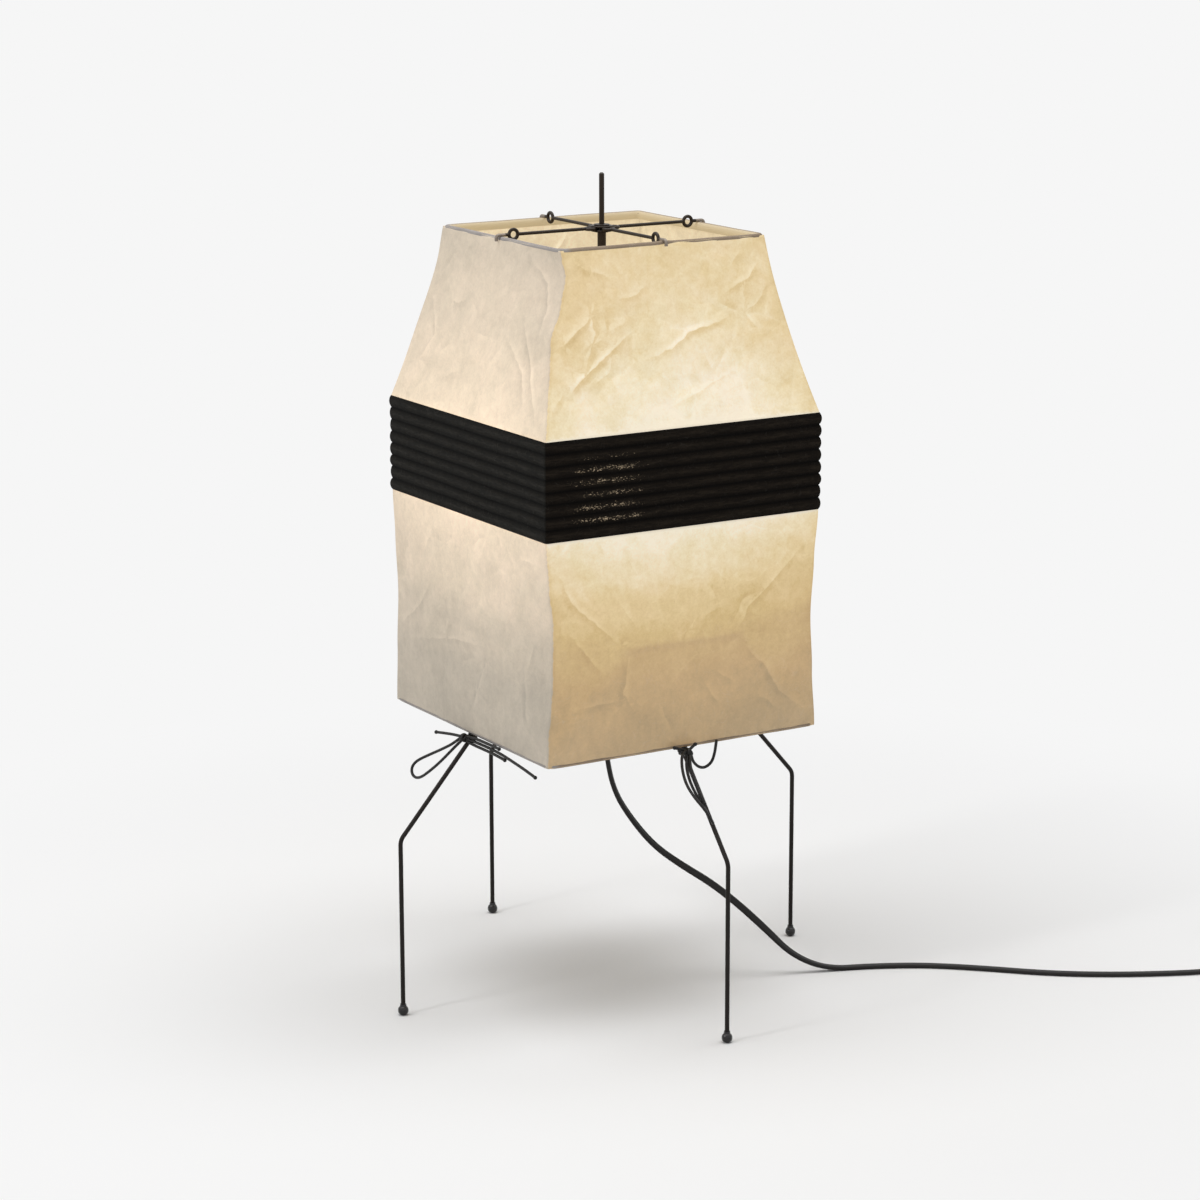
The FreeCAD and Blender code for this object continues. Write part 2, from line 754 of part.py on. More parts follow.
def make_harp():
    for side, angle in HARP_ANGLES.items():
        body = new_body("harp_rod_" + side)
        path = new_sketch(body, "HarpPath" + side, "XZ_Plane")
        corners = [
            ("leg_end_reach", "hub_level"),
            ("harp_reach", "hub_level"),
            ("harp_reach", "harp_level"),
            ("harp_end_reach", "harp_level"),
        ]
        bent_path(path, corners, ["harp_bend", "harp_shoulder_bend"])
        section = new_sketch(body, "HarpSection" + side, "YZ_Plane", "leg_end_reach")
        circle(section, "0", "hub_level", "harp_wire / 2")
        pipe(body, "HarpWire" + side, path, section)
        turn_to(body, angle)
    saddle = new_body("harp_saddle")
    revolve(saddle, "Saddle", [
        ("mast_width / 2 + seat_play", "saddle_underside"),
        ("saddle_width / 2 - hub_edge", "saddle_underside"),
        ("saddle_width / 2", "saddle_underside + hub_edge"),
        ("saddle_width / 2", "saddle_top - hub_edge"),
        ("saddle_width / 2 - hub_edge", "saddle_top"),
        ("mast_width / 2 + seat_play", "saddle_top"),
    ])
    hole = new_sketch(saddle, "SaddleHoleSketch", "YZ_Plane", "harp_end_reach")
    circle(hole, "0", "harp_level", "harp_wire / 2 + seat_play")
    first = pocket(saddle, "SaddleHole", hole, "saddle_width", True)
    around(saddle, "SaddleHoles", first, len(HARP_ANGLES))
    turn_to(saddle, HARP_TURN)


def make_mast():
    mast = new_body("mast_tube")
    revolve(mast, "MastTube", [
        ("mast_bore / 2", "mast_bottom"),
        ("mast_width / 2", "mast_bottom"),
        ("mast_width / 2", "mast_top"),
        ("mast_bore / 2", "mast_top"),
    ])
    pin_body = new_body("mast_pin")
    revolve(pin_body, "MastPin", [
        ("0", "mast_top - pin_socket"),
        ("pin_width / 2", "mast_top - pin_socket"),
        ("pin_width / 2", "pin_top - pin_width / 4"),
        ("pin_width / 4", "pin_top"),
        ("0", "pin_top"),
    ])


# The bulb

def make_bulb():
    button = new_body("bulb_contact")
    revolve(button, "Button", [
        ("0", "button_bottom"),
        ("button_width / 4", "button_bottom"),
        ("button_width / 2", "insulator_bottom"),
        ("0", "insulator_bottom"),
    ])
    insulator = new_body("bulb_insulator")
    revolve(insulator, "Insulator", [
        ("0", "insulator_bottom"),
        ("button_width / 2", "insulator_bottom"),
        ("insulator_width / 2", "thread_bottom"),
        ("0", "thread_bottom"),
    ])
    cap = new_body("bulb_cap")
    corners = [("0", "thread_bottom"), ("insulator_width / 2", "thread_bottom")]
    for turn in range(int(number("thread_turns"))):
        root, crest = turn + THREAD_ROOT_SHARE, turn + THREAD_CREST_SHARE
        corners.append(("thread_width / 2 - thread_depth", "thread_bottom + thread_pitch * %g" % root))
        corners.append(("thread_width / 2", "thread_bottom + thread_pitch * %g" % crest))
    corners += [("thread_width / 2", "neck_level"), ("0", "neck_level")]
    revolve(cap, "ThreadedCap", corners)
    glass = new_body("bulb_glass")
    joint = "globe_level - globe_joint_drop"
    joint_reach = "sqrt((globe_width / 2) ^ 2 - globe_joint_drop ^ 2)"
    revolve(glass, "Glass", [
        ("neck_width / 2", "neck_level"),
        (joint_reach, joint, ("neck_swell_width / 2", "neck_level + neck_swell_rise")),
        ("0", "globe_level + globe_width / 2", ("globe_width / 2", "globe_level")),
        ("0", "globe_level + globe_width / 2 - glass_wall"),
        ("(%s) * (1 - 2 * glass_wall / globe_width)" % joint_reach,
         "globe_level - globe_joint_drop * (1 - 2 * glass_wall / globe_width)",
         ("globe_width / 2 - glass_wall", "globe_level")),
        ("neck_width / 2 - glass_wall", "neck_level",
         ("neck_swell_width / 2 - glass_wall", "neck_level + neck_swell_rise")),
    ])


# The shade: square wire frames, paper and ribs

def square_frame(label, centre, level):
    body = new_body(label)
    path = new_sketch(body, label + "Path", "XY_Plane", level)
    far = "-(%s)" % centre
    corners = [(centre, far), (centre, centre), (far, centre), (far, far)]
    bent_path(path, corners, ["frame_corner"] * len(corners), closed=True)
    section = new_sketch(body, label + "Section", "XZ_Plane")
    circle(section, centre, level, "frame_wire / 2")
    pipe(body, label + "Wire", path, section)


def rounded_square(half, level, corner):
    """A square wire outline with rounded corners, starting in the middle of a side."""
    flat = half - corner
    diagonal = flat + corner * math.sqrt(0.5)
    edges = []
    for quarter in range(4):
        about = Rotation(UP, 90 * quarter)
        place = lambda x, y: about.multVec(Vector(x, y, 0)) + UP * level
        edges.append(Part.LineSegment(place(half, -flat), place(half, flat)).toShape())
        edges.append(Part.Arc(place(half, flat), place(diagonal, diagonal), place(flat, half)).toShape())
    return Part.Wire(edges)


def paper_skin(sections, wall):
    """A sleeve of paper through square sections, each a half side and a level."""
    corner = number("paper_corner")
    outside = Part.makeLoft([rounded_square(half, level, corner) for half, level in sections], True, True)
    inner = [rounded_square(half - wall, level, corner - wall) for half, level in sections]
    inside = Part.makeLoft(inner, True, True)
    return outside.cut(inside)


def make_upper_paper():
    """The tapered top, with its sides drawn in between the two frames."""
    low, high = number("band_top"), number("top_level + frame_wire / 2")
    sections = []
    for k in range(PAPER_STAGES + 1):
        share = k / PAPER_STAGES
        straight = number("band_half") + number("top_half - band_half") * share
        hollow = number("upper_hollow") * (1 - (2 * share - 1) ** 2)
        sections.append((straight - hollow, low + (high - low) * share))
    solid_piece("paper_upper", paper_skin(sections, number("paper_wall")))


def make_band():
    """Pleats that bulge between the ribs."""
    low, pitch = number("band_bottom"), number("band_top - band_bottom") / PLEATS
    sections = []
    for k in range(2 * PLEATS + 1):
        half = number("band_half") + (number("pleat_bulge") if k % 2 else 0)
        sections.append((half, low + pitch * k / 2))
    solid_piece("paper_band", paper_skin(sections, number("paper_wall")))
    centre = number("band_half - paper_wall - seat_play - rib_wire / 2")
    rings = []
    for k in range(1, PLEATS):
        path = rounded_square(centre, low + pitch * k, number("paper_corner"))
        rings.append(tube(path, number("rib_wire / 2")))
    solid_piece("band_ribs", Part.makeCompound(rings))


def hipped_solid(inset):
    """The lower paper's outside, or its inside: each side folds along a short ridge and four hips."""
    top, waist = number("band_bottom"), number("waist_level")
    bottom = number("bottom_level - frame_wire / 2")
    half_top, half_bottom = number("band_half") - inset, number("bottom_half") - inset
    half_waist = (half_top + half_bottom) / 2 - number("waist_pull")
    ridge = (half_top + half_bottom) / 2 + number("ridge_push")
    ridge_half = number("ridge_half")
    faces = []
    for quarter in range(4):
        about = Rotation(UP, 90 * quarter)
        place = lambda x, y, z: about.multVec(Vector(x, y, z))
        high = [place(half_top, -half_top, top), place(half_top, half_top, top)]
        low = [place(half_bottom, -half_bottom, bottom), place(half_bottom, half_bottom, bottom)]
        mid = [place(half_waist, -half_waist, waist), place(half_waist, half_waist, waist)]
        crest = [place(ridge, -ridge_half, waist), place(ridge, ridge_half, waist)]
        for loop in (
            [high[0], high[1], crest[1], crest[0]],
            [crest[0], crest[1], low[1], low[0]],
            [high[0], crest[0], mid[0]],
            [mid[0], crest[0], low[0]],
            [high[1], mid[1], crest[1]],
            [mid[1], low[1], crest[1]],
        ):
            faces.append(Part.Face(Part.makePolygon(loop + loop[:1])))
    for half, level in ((half_top, top), (half_bottom, bottom)):
        square = [Rotation(UP, 90 * k).multVec(Vector(half, half, 0)) + UP * level for k in range(4)]
        faces.append(Part.Face(Part.makePolygon(square + square[:1])))
    shape = Part.Solid(Part.makeShell(faces))
    if shape.Volume < 0:
        shape.reverse()
    return shape


def make_lower_paper():
    solid_piece("paper_lower", hipped_solid(0).cut(hipped_solid(number("paper_wall"))))


def make_shade():
    wire_inset = "paper_wall - frame_gap - frame_wire / 2"
    square_frame("frame_top", "(top_half - %s)" % wire_inset, "top_level")
    square_frame("frame_band_top", "(band_half - %s)" % wire_inset, "band_top")
    square_frame("frame_band_bottom", "(band_half - %s)" % wire_inset, "band_bottom")
    square_frame("frame_bottom", "frame_centre", "bottom_level")
    make_upper_paper()
    make_band()
    make_lower_paper()


# The spider that holds the top frame up on the pin

def make_spider():
    hub = new_body("spider_hub")
    centre = new_sketch(hub, "SpiderCentreSketch", "XY_Plane", "plate_bottom")
    circle(centre, "0", "0", "spider_centre / 2")
    circle(centre, "0", "0", "spider_bore / 2")
    pad(hub, "SpiderCentre", centre, "spider_plate")
    petal = new_sketch(hub, "PetalSketch", "XY_Plane", "plate_bottom")
    circle(petal, "petal_reach", "0", "petal_width / 2")
    circle(petal, "petal_reach", "0", "petal_hole / 2")
    first = pad(hub, "Petal", petal, "spider_plate")
    around(hub, "Petals", first, len(LEG_ANGLES))
    collar = new_body("spider_collar")
    revolve(collar, "Collar", [
        ("spider_bore / 2", "collar_bottom"),
        ("collar_width / 2", "collar_bottom"),
        ("collar_width / 2", "plate_bottom"),
        ("spider_bore / 2", "plate_bottom"),
    ])
    for side, angle in LEG_ANGLES.items():
        body = new_body("spider_arm_" + side)
        eye = new_sketch(body, "EyeSketch" + side, "XY_Plane")
        circle(eye, "eye_radius", "0", "arm_wire / 2")
        ring = body.newObject("PartDesign::Revolution", "Eye" + side)
        ring.Profile = eye
        ring.ReferenceAxis = (eye, ["V_Axis"])
        ring.Angle = 360
        arm = new_sketch(body, "ArmSketch" + side, "YZ_Plane", "-eye_radius")
        circle(arm, "0", "0", "arm_wire / 2")
        pad(body, "Arm" + side, arm, "eye_reach - eye_radius - petal_reach - petal_width / 2", True)
        path = new_sketch(body, "HookPath" + side, "XZ_Plane")
        corners = [("eye_radius", "0"), ("hook_reach", "0"), ("hook_reach", "-hook_drop")]
        bent_path(path, corners, ["hook_bend"])
        section = new_sketch(body, "HookSection" + side, "YZ_Plane", "eye_radius")
        circle(section, "0", "0", "arm_wire / 2")
        pipe(body, "Hook" + side, path, section)
        turn_to(body, angle, "eye_reach", "arm_level")


# Ties

def make_tie_wraps():
    for side, angle in LEG_ANGLES.items():
        wrap = doc.addObject("Part::Torus", "tie_wrap_" + side)
        wrap.Label = "tie_wrap_" + side
        wrap.setExpression("Radius1", bound("tie_wrap_radius"))
        wrap.setExpression("Radius2", bound("tie_wire / 2"))
        turn_to(wrap, angle, "tie_wrap_reach", "tie_level")
        lean = Rotation(Vector(0, 1, 0), -number("leg_lean"))
        wrap.Placement.Rotation = Rotation(UP, angle).multiply(lean)


def make_tie(side, angle, strands, beads):
    """A knot with its strands, beside the wrap on the leg. Beads mark where a strand ends or is knotted."""
    radius = number("tie_wire / 2")
    knot = Part.makeSphere(number("knot_size / 2"))
    strung = [tube(tangent_route(vectors(strand)), radius) for strand in strands]
    ends = [Part.makeSphere(radius * BEAD_SHARE, Vector(*place)) for place in beads]
    made = knot.multiFuse(strung + ends)
    place = Rotation(UP, angle).multVec(Vector(number("knot_centre"), 0, number("knot_level")))
    solid_piece("tie_bow_" + side, made, Placement(place, Rotation(UP, angle)))


def mirrored(strand):
    return [(out, -along, up) for out, along, up in strand]


def make_ties():
    make_tie_wraps()
    tails = [TIE_BAR, TIE_BAR_UNDER, TIE_BAR_TAIL, TIE_LEFT_TAIL]
    make_tie("left", LEG_ANGLES["left"], tails + [TIE_TEARDROP], [tail[-1] for tail in tails])
    tails = [TIE_HANGING_TAIL, TIE_SIDE_LOOP, TIE_CORNER_STRAND, TIE_HOOK_STRAND]
    make_tie("front", LEG_ANGLES["front"], tails + [TIE_HANGING_LOOP], [tail[-1] for tail in tails])
    for side in ("back", "right"):
        loops = [TIE_SHORT_LOOP, mirrored(TIE_SHORT_LOOP)]
        tails = [TIE_SHORT_TAIL, mirrored(TIE_SHORT_TAIL)]
        make_tie(side, LEG_ANGLES[side], loops + tails, [tail[-1] for tail in tails])


# The cord, its switch and its plug, all in the cord's own plane

def cord_place(along=0, across=0, up=0, turn=0):
    heading = Rotation(UP, number("cord_heading"))
    return Placement(heading.multVec(Vector(along, across, up)), heading.multiply(Rotation(UP, turn)))


def half_turn(start, end, heading):
    """Two arcs from start to end, leaving along the heading and arriving against it."""
    across = end - start
    level = Vector(across.x, across.y, 0)
    middle = (start + end) * 0.5 + heading * math.sqrt((level.Length / 2) ** 2 + (across.z / 2) ** 2)
    edges = []
    for first, last, tangent in ((start, middle, heading), (end, middle, heading)):
        chord = last - first
        along = chord.normalize()
        lean = math.acos(tangent.dot(along))
        aside = (tangent - along * tangent.dot(along)).normalize()
        crown = (first + last) * 0.5 + aside * (last.distanceToPoint(first) / 2 * math.tan(lean / 2))
        ends = (first, crown, last) if first is start else (last, crown, first)
        edges.append(Part.Arc(*ends).toShape())
    return edges


def coil_path():
    """Half turns that wind inwards on the lower layer, climb, and wind out again on the upper one."""
    inner, pitch = number("coil_inner"), number("coil_pitch")
    low, high = number("coil_level"), number("coil_top_level")
    layer_turns = COIL_HALF_TURNS // 2
    reaches = [inner + pitch / 2 * (layer_turns - k) for k in range(layer_turns)] + [inner, inner]
    reaches += [inner + pitch / 2 * (k + 1) for k in range(layer_turns)]
    places = []
    for k, reach in enumerate(reaches):
        places.append(Vector(-reach if k % 2 == 0 else reach, 0, low if k <= layer_turns else high))
    straight = number("cord_width")
    edges = [Part.LineSegment(places[0] - Vector(0, straight, 0), places[0]).toShape()]
    for k, (start, end) in enumerate(zip(places, places[1:])):
        edges += half_turn(start, end, Vector(0, 1 if k % 2 == 0 else -1, 0))
    edges.append(Part.LineSegment(places[-1], places[-1] - Vector(0, straight, 0)).toShape())
    return Part.Wire(edges), places


def least_gap(wire, width):
    """The least distance of the wire to itself, less its width, on points of turns that lie apart."""
    points = []
    for edge in wire.Edges:
        points += edge.discretize(16)[:-1]
    walked = [0.0]
    for first, last in zip(points, points[1:]):
        walked.append(walked[-1] + first.distanceToPoint(last))
    apart = width * NEIGHBOUR_WIDTHS
    gaps = []
    for i, one in enumerate(points):
        for j in range(i + 1, len(points)):
            if walked[j] - walked[i] > apart:
                gaps.append(one.distanceToPoint(points[j]))
    return min(gaps) - width


def cord_points():
    """The cord's way from the relief down to the floor, and along it to the switch."""
    height, lying = number("relief_underside"), number("cord_width / 2")
    places = [Vector(along, across, share * height) for along, across, share in CORD_HANG]
    places += [Vector(along, across, lying) for along, across in CORD_FLOOR]
    along, across = CORD_FLOOR[-1]
    places += [Vector(along, across + step, number("switch_mid")) for step in SWITCH_STEPS]
    return places


def stepped(start, steps, level):
    """Four points across from a start. The last two are at the level."""
    places = [start + Vector(0, step, 0) for step in steps]
    for place in places[2:]:
        place.z = level
    return places


def make_cord():
    radius = number("cord_width / 2")
    points = cord_points()
    run = tangent_route(points, "cord_run")
    solid_piece("cord_run", tube(run, radius, "cord_run"), cord_place())
    switch_end = points[-1] + Vector(0, number("switch_length"), 0)
    lead_points = stepped(switch_end, LEAD_STEPS, number("coil_level"))
    lead = tangent_route(lead_points, "cord_lead")
    solid_piece("cord_lead", tube(lead, radius, "cord_lead"), cord_place())
    path, places = coil_path()
    print("coil least gap to itself %.2f" % least_gap(path, number("cord_width")))
    coil_x = lead_points[-1].x - places[0].x
    coil_y = lead_points[-1].y + number("cord_width")
    solid_piece("cord_coil", tube(path, radius, "cord_coil"), cord_place(coil_x, coil_y))
    coil_end = Vector(coil_x + places[-1].x, lead_points[-1].y, number("coil_top_level"))
    plug_points = stepped(coil_end, PLUG_STEPS, number("plug_height / 2"))
    plug_lead = tangent_route(plug_points, "plug_lead")
    solid_piece("plug_lead", tube(plug_lead, radius, "plug_lead"), cord_place())
    whole = run.Length + lead.Length + path.Length + plug_lead.Length + number("switch_length")
    print("cord from the relief to the plug %.0f" % whole)
    make_strap(coil_x, coil_y)
    make_plug(plug_points[-1])
    make_switch(points[-1])


def make_strap(coil_x, coil_y):
    """A band round the coil's turns where they cross the far side."""
    body = new_body("coil_strap")
    sketch = new_sketch(body, "StrapSketch", "YZ_Plane", "-strap_width / 2")
    for wall in ("0", "strap_wall"):
        near, far = "(strap_near - %s)" % wall, "(strap_far + %s)" % wall
        low, high = "(strap_low - %s)" % wall, "(strap_high + %s)" % wall
        outline(sketch, [(near, low), (far, low), (far, high), (near, high)])
    pad(body, "Strap", sketch, "strap_width")
    body.Placement = cord_place(coil_x, coil_y)


def make_plug(entry):
    body = new_body("plug_body")
    sketch = new_sketch(body, "PlugSketch", "XY_Plane", "-plug_height / 2")
    outline(sketch, [
        ("-plug_neck / 2", "0"),
        ("plug_neck / 2", "0"),
        ("plug_width / 2", "-plug_shoulder"),
        ("plug_width / 2", "-plug_length"),
        ("-plug_width / 2", "-plug_length"),
        ("-plug_width / 2", "-plug_shoulder"),
    ])
    block = pad(body, "PlugBlock", sketch, "plug_height")
    doc.recompute()
    face = -number("plug_length") + TINY

    def to_round(start, end):
        return abs(start.z - end.z) < TINY and (start.y + end.y) / 2 > face

    rounded = body.newObject("PartDesign::Fillet", "PlugEdges")
    rounded.Base = (block, edges_where(body, to_round))
    rounded.setExpression("Radius", bound("plug_edge"))
    body.Placement = cord_place(entry.x, entry.y, entry.z)
    blades = []
    wall, length, width = number("blade_wall"), number("blade_length"), number("blade_width")
    for side in (-1, 1):
        centre = side * number("blade_spread / 2")
        corner = Vector(centre - wall / 2, -number("plug_length") - length, -width / 2)
        blades.append(Part.makeBox(wall, length, width, corner))
    solid_piece("plug_blades", Part.makeCompound(blades), cord_place(entry.x, entry.y, entry.z))


def edges_where(body, wanted):
    """The names of the body's edges whose two ends pass the test."""
    names = []
    for k, edge in enumerate(body.Shape.Edges, start=1):
        ends = [v.Point for v in edge.Vertexes]
        if len(ends) == 2 and wanted(*ends):
            names.append("Edge%d" % k)
    return names


def switch_outline(sketch, inset):
    """A long rounded outline for the switch's two halves."""
    x, y = "(switch_width / 2 - %s)" % inset, "(switch_length / 2 - %s)" % inset
    bend = "(switch_corner - %s)" % inset
    bent_path(sketch, [(x, "-" + y), (x, y), ("-" + x, y), ("-" + x, "-" + y)], [bend] * 4, closed=True)


def screw_posts(body, name, level, radius, length):
    """A round post at each of the switch's two screws."""
    sketch = new_sketch(body, name + "Sketch", "XY_Plane", level)
    circle(sketch, "0", "screw_reach", radius)
    circle(sketch, "0", "-screw_reach", radius)
    return pad(body, name, sketch, length)


def screw_holes(body, name, level, radius, length):
    sketch = new_sketch(body, name + "Sketch", "XY_Plane", level)
    circle(sketch, "0", "screw_reach", radius)
    circle(sketch, "0", "-screw_reach", radius)
    return pocket(body, name, sketch, length, True)


def make_switch(entry):
    place = cord_place(entry.x, entry.y + number("switch_length / 2"))
    base = new_body("switch_base")
    sketch = new_sketch(base, "BaseSketch", "XY_Plane")
    switch_outline(sketch, "0")
    block = pad(base, "BaseBlock", sketch, "switch_mid")
    doc.recompute()
    softened = base.newObject("PartDesign::Fillet", "BaseEdge")
    softened.Base = (block, edges_where(base, lambda a, b: a.z < TINY and b.z < TINY))
    softened.setExpression("Radius", bound("switch_edge"))
    hollow = new_sketch(base, "BaseHollowSketch", "XY_Plane", "switch_mid")
    switch_outline(hollow, "switch_wall")
    pocket(base, "BaseHollow", hollow, "switch_mid - switch_wall")
    screw_posts(base, "BasePosts", "0", "screw_post / 2", "switch_mid")
    screw_holes(base, "BaseHeads", "0", "screw_head / 2 + seat_play", "screw_seat")
    screw_holes(base, "BaseShanks", "screw_seat", "screw_shank / 2 + seat_play", "switch_mid")
    base.Placement = place
    cover = new_body("switch_cover")
    sketch = new_sketch(cover, "CoverSketch", "XY_Plane", "switch_mid")
    switch_outline(sketch, "0")
    block = pad(cover, "CoverBlock", sketch, "switch_height - switch_mid")
    doc.recompute()
    top = number("switch_height") - TINY
    softened = cover.newObject("PartDesign::Fillet", "CoverEdge")
    softened.Base = (block, edges_where(cover, lambda a, b: a.z > top and b.z > top))
    softened.setExpression("Radius", bound("switch_edge"))
    hollow = new_sketch(cover, "CoverHollowSketch", "XY_Plane", "switch_mid")
    switch_outline(hollow, "switch_wall")
    pocket(cover, "CoverHollow", hollow, "switch_height - switch_mid - switch_wall", True)
    screw_posts(cover, "CoverPosts", "switch_mid", "screw_post / 2", "switch_mid - switch_wall")
    depth = "screw_length + seat_play - switch_mid"
    screw_holes(cover, "CoverShanks", "switch_mid", "screw_shank / 2 + seat_play", depth)
    mouth = new_sketch(cover, "MouthSketch", "XY_Plane", "switch_height")
    x, y = "(rocker_width / 2 + rocker_play)", "(rocker_length / 2 + rocker_end_play)"
    outline(mouth, [(x, "-" + y), (x, y), ("-" + x, y), ("-" + x, "-" + y)])
    pocket(cover, "Mouth", mouth, "switch_height - switch_mid")
    cover.Placement = place
    rocker = new_body("switch_rocker")
    profile = new_sketch(rocker, "RockerSketch", "YZ_Plane", "-rocker_width / 2")
    outline(profile, [
        ("-rocker_length / 2", "rocker_belly / 2"),
        ("rocker_length / 2", "rocker_belly / 2", ("0", "-rocker_belly")),
        ("rocker_length / 2", "rocker_ear"),
        ("0", "rocker_valley"),
        ("-rocker_length / 2", "rocker_ear"),
    ])
    pad(rocker, "RockerBlock", profile, "rocker_width")
    tilt = Rotation(Vector(1, 0, 0), -number("rocker_tilt"))
    rocker.Placement = place.multiply(Placement(UP * number("rocker_axis_height"), tilt))
    for end, side in (("near", -1), ("far", 1)):
        screw = new_body("switch_screw_" + end)
        revolve(screw, "Screw" + end, [
            ("0", "seat_play"),
            ("screw_head / 2", "seat_play"),
            ("screw_head / 2", "screw_seat"),
            ("screw_shank / 2", "screw_seat"),
            ("screw_shank / 2", "screw_length"),
            ("0", "screw_length"),
        ])
        at = Vector(0, side * number("screw_reach"), 0)
        screw.Placement = place.multiply(Placement(at, Rotation()))


def make_all():
    for side, angle in LEG_ANGLES.items():
        make_leg(side, angle)
        make_foot(side, angle)
    make_hub()
    make_nipple()
    make_nut()
    make_relief()
    make_holder()
    make_harp()
    make_mast()
    make_bulb()
    make_shade()
    make_spider()
    make_ties()
    make_cord()


def sub_parts():
    kinds = ("PartDesign::Body", "Part::Torus", "Part::Feature")
    return [thing for thing in doc.Objects if thing.TypeId in kinds]


def check_and_write():
    failed = [thing.Label for thing in doc.Objects if {"Invalid", "Error"} & set(thing.State)]
    for piece in sub_parts():
        if piece.Shape.isNull() or not piece.Shape.isValid() or piece.Shape.Volume <= 0:
            failed.append(piece.Label)
    if failed:
        raise ValueError("failed: " + ", ".join(failed))
    os.makedirs("parts", exist_ok=True)
    for piece in sub_parts():
        piece.Shape.exportStep("parts/%s.step" % piece.Label)
    print(len(sub_parts()), "sub-parts")


make_all()
doc.recompute()
check_and_write()
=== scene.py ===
import math
import random
from functools import partialmethod

import bmesh
import bpy
from mathutils import Matrix, Vector, noise


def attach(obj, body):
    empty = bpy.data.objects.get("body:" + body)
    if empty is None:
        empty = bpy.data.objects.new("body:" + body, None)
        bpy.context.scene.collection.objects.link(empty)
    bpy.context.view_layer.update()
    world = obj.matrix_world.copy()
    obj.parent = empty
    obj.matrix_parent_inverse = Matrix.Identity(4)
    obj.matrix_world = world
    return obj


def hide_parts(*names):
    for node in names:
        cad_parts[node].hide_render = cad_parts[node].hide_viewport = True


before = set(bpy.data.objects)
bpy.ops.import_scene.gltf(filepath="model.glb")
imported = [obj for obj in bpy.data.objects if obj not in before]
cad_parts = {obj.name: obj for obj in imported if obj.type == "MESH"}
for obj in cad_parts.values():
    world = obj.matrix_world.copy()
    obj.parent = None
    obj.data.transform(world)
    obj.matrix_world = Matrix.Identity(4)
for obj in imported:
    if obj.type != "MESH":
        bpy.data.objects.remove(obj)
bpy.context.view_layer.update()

SCENE = bpy.context.scene
MM = 0.001
QUARTER = math.pi / 2

# The four sides of the lamp by the angle that each faces
SIDES = {"left": 180, "back": 90, "front": 270, "right": 0}

# Levels and half widths of the shade
TOP, BAND_TOP, BAND_BOTTOM, BOTTOM = 597.6, 464, 388.9, 218.1
TOP_HALF, BAND_HALF, BOTTOM_HALF = 89.5, 120.7, 120
# How near the points of two sides are when they are joined, and how thick each sheet is
WELD, PAPER_WALL, BAND_WALL, HEM_WALL = 0.06, 0.35, 0.4, 0.3

# The cord's line, in its own plane, as along, across and up
CORD_HEADING = math.radians(-31.12)
CORD_RUN = [
    (0, 0, 262), (0.3, 0, 237.9), (1.2, 0, 210.1), (3, 0, 180), (9, 0, 152), (23, 0, 128.9),
    (41, 0, 106.9), (63, 0, 90.9), (86, 0, 76.5), (108, 0, 58.4), (130, 0, 37.5), (152, 1, 14.7),
    (180, 5, 1.9), (216, 12, 1.9), (260, 14, 1.9), (306, 6, 1.9), (354, -6, 1.9), (402, -10, 1.9),
    (448, -8, 1.9), (488, -3, 1.9), (517, 16, 1.9), (528, 40, 1.9), (528, 58, 8), (528, 70, 8),
]
# How far the flat cord turns on edge while it hangs, in degrees at its first points
CORD_TILTS = [0, 0, 0, 5, 10, 18, 28, 42, 56, 64, 54, 20]
CORD_LEAD = [(528, 132, 8), (528, 140, 8), (528, 156, 1.9), (528, 164, 1.9)]
CORD_TO_PLUG = [(597.5, 164, 5.8), (597.5, 156, 5.8), (597.5, 140, 8.2), (597.5, 132, 8.2)]
COIL_CENTRE = (562.75, 168.6)
COIL_REACHES = [34.75, 31.8, 28.85, 25.9, 22.95, 20, 20, 22.95, 25.9, 28.85, 31.8, 34.75]
COIL_LAYERS = (1.9, 5.8)
COIL_STEPS = 6
# The twin flex's conductors: each one's radius, and how far its middle is from the cord's
FLEX_RADIUS, FLEX_APART = 1.85, 1.1


# Helpers

def turned(place, degrees):
    return Matrix.Rotation(math.radians(degrees), 3, "Z") @ Vector(place)


def shown(name, data, body, material, stands_for=()):
    """Makes a piece of a mesh or bmesh that is in place already."""
    if isinstance(data, bmesh.types.BMesh):
        data = mesh_of(data, name)
    obj = bpy.data.objects.new(name, data)
    SCENE.collection.objects.link(obj)
    for one in material if isinstance(material, list) else [material]:
        data.materials.append(one)
    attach(obj, body)
    if stands_for:
        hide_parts(*stands_for)
    return obj


def mesh_of(bm, name):
    bmesh.ops.recalc_face_normals(bm, faces=bm.faces)
    mesh = bpy.data.meshes.new(name)
    bm.to_mesh(mesh)
    bm.free()
    for face in mesh.polygons:
        face.use_smooth = True
    return mesh


def placed(name, data, place, way, roll):
    """An object at a place, in metres, that looks along a way and is rolled about it by radians."""
    obj = bpy.data.objects.new(name, data)
    SCENE.collection.objects.link(obj)
    obj.location = place
    obj.rotation_mode = "QUATERNION"
    obj.rotation_quaternion = way.to_track_quat("-Z", "Y") @ Matrix.Rotation(roll, 3, "Z").to_quaternion()
    return obj


def float_layers(bm, *names):
    return [bm.verts.layers.float.new(name) for name in names]


def weld(bm, reach):
    bmesh.ops.remove_doubles(bm, verts=bm.verts, dist=reach * MM)


def thickness(obj, wall, inner_finish=0):
    """Gives a sheet a wall, in millimetres. The inner finish is a step to another of its finishes."""
    coat = obj.modifiers.new("wall", "SOLIDIFY")
    coat.thickness = wall * MM
    coat.offset = -1
    coat.material_offset = inner_finish
    coat.use_even_offset = False


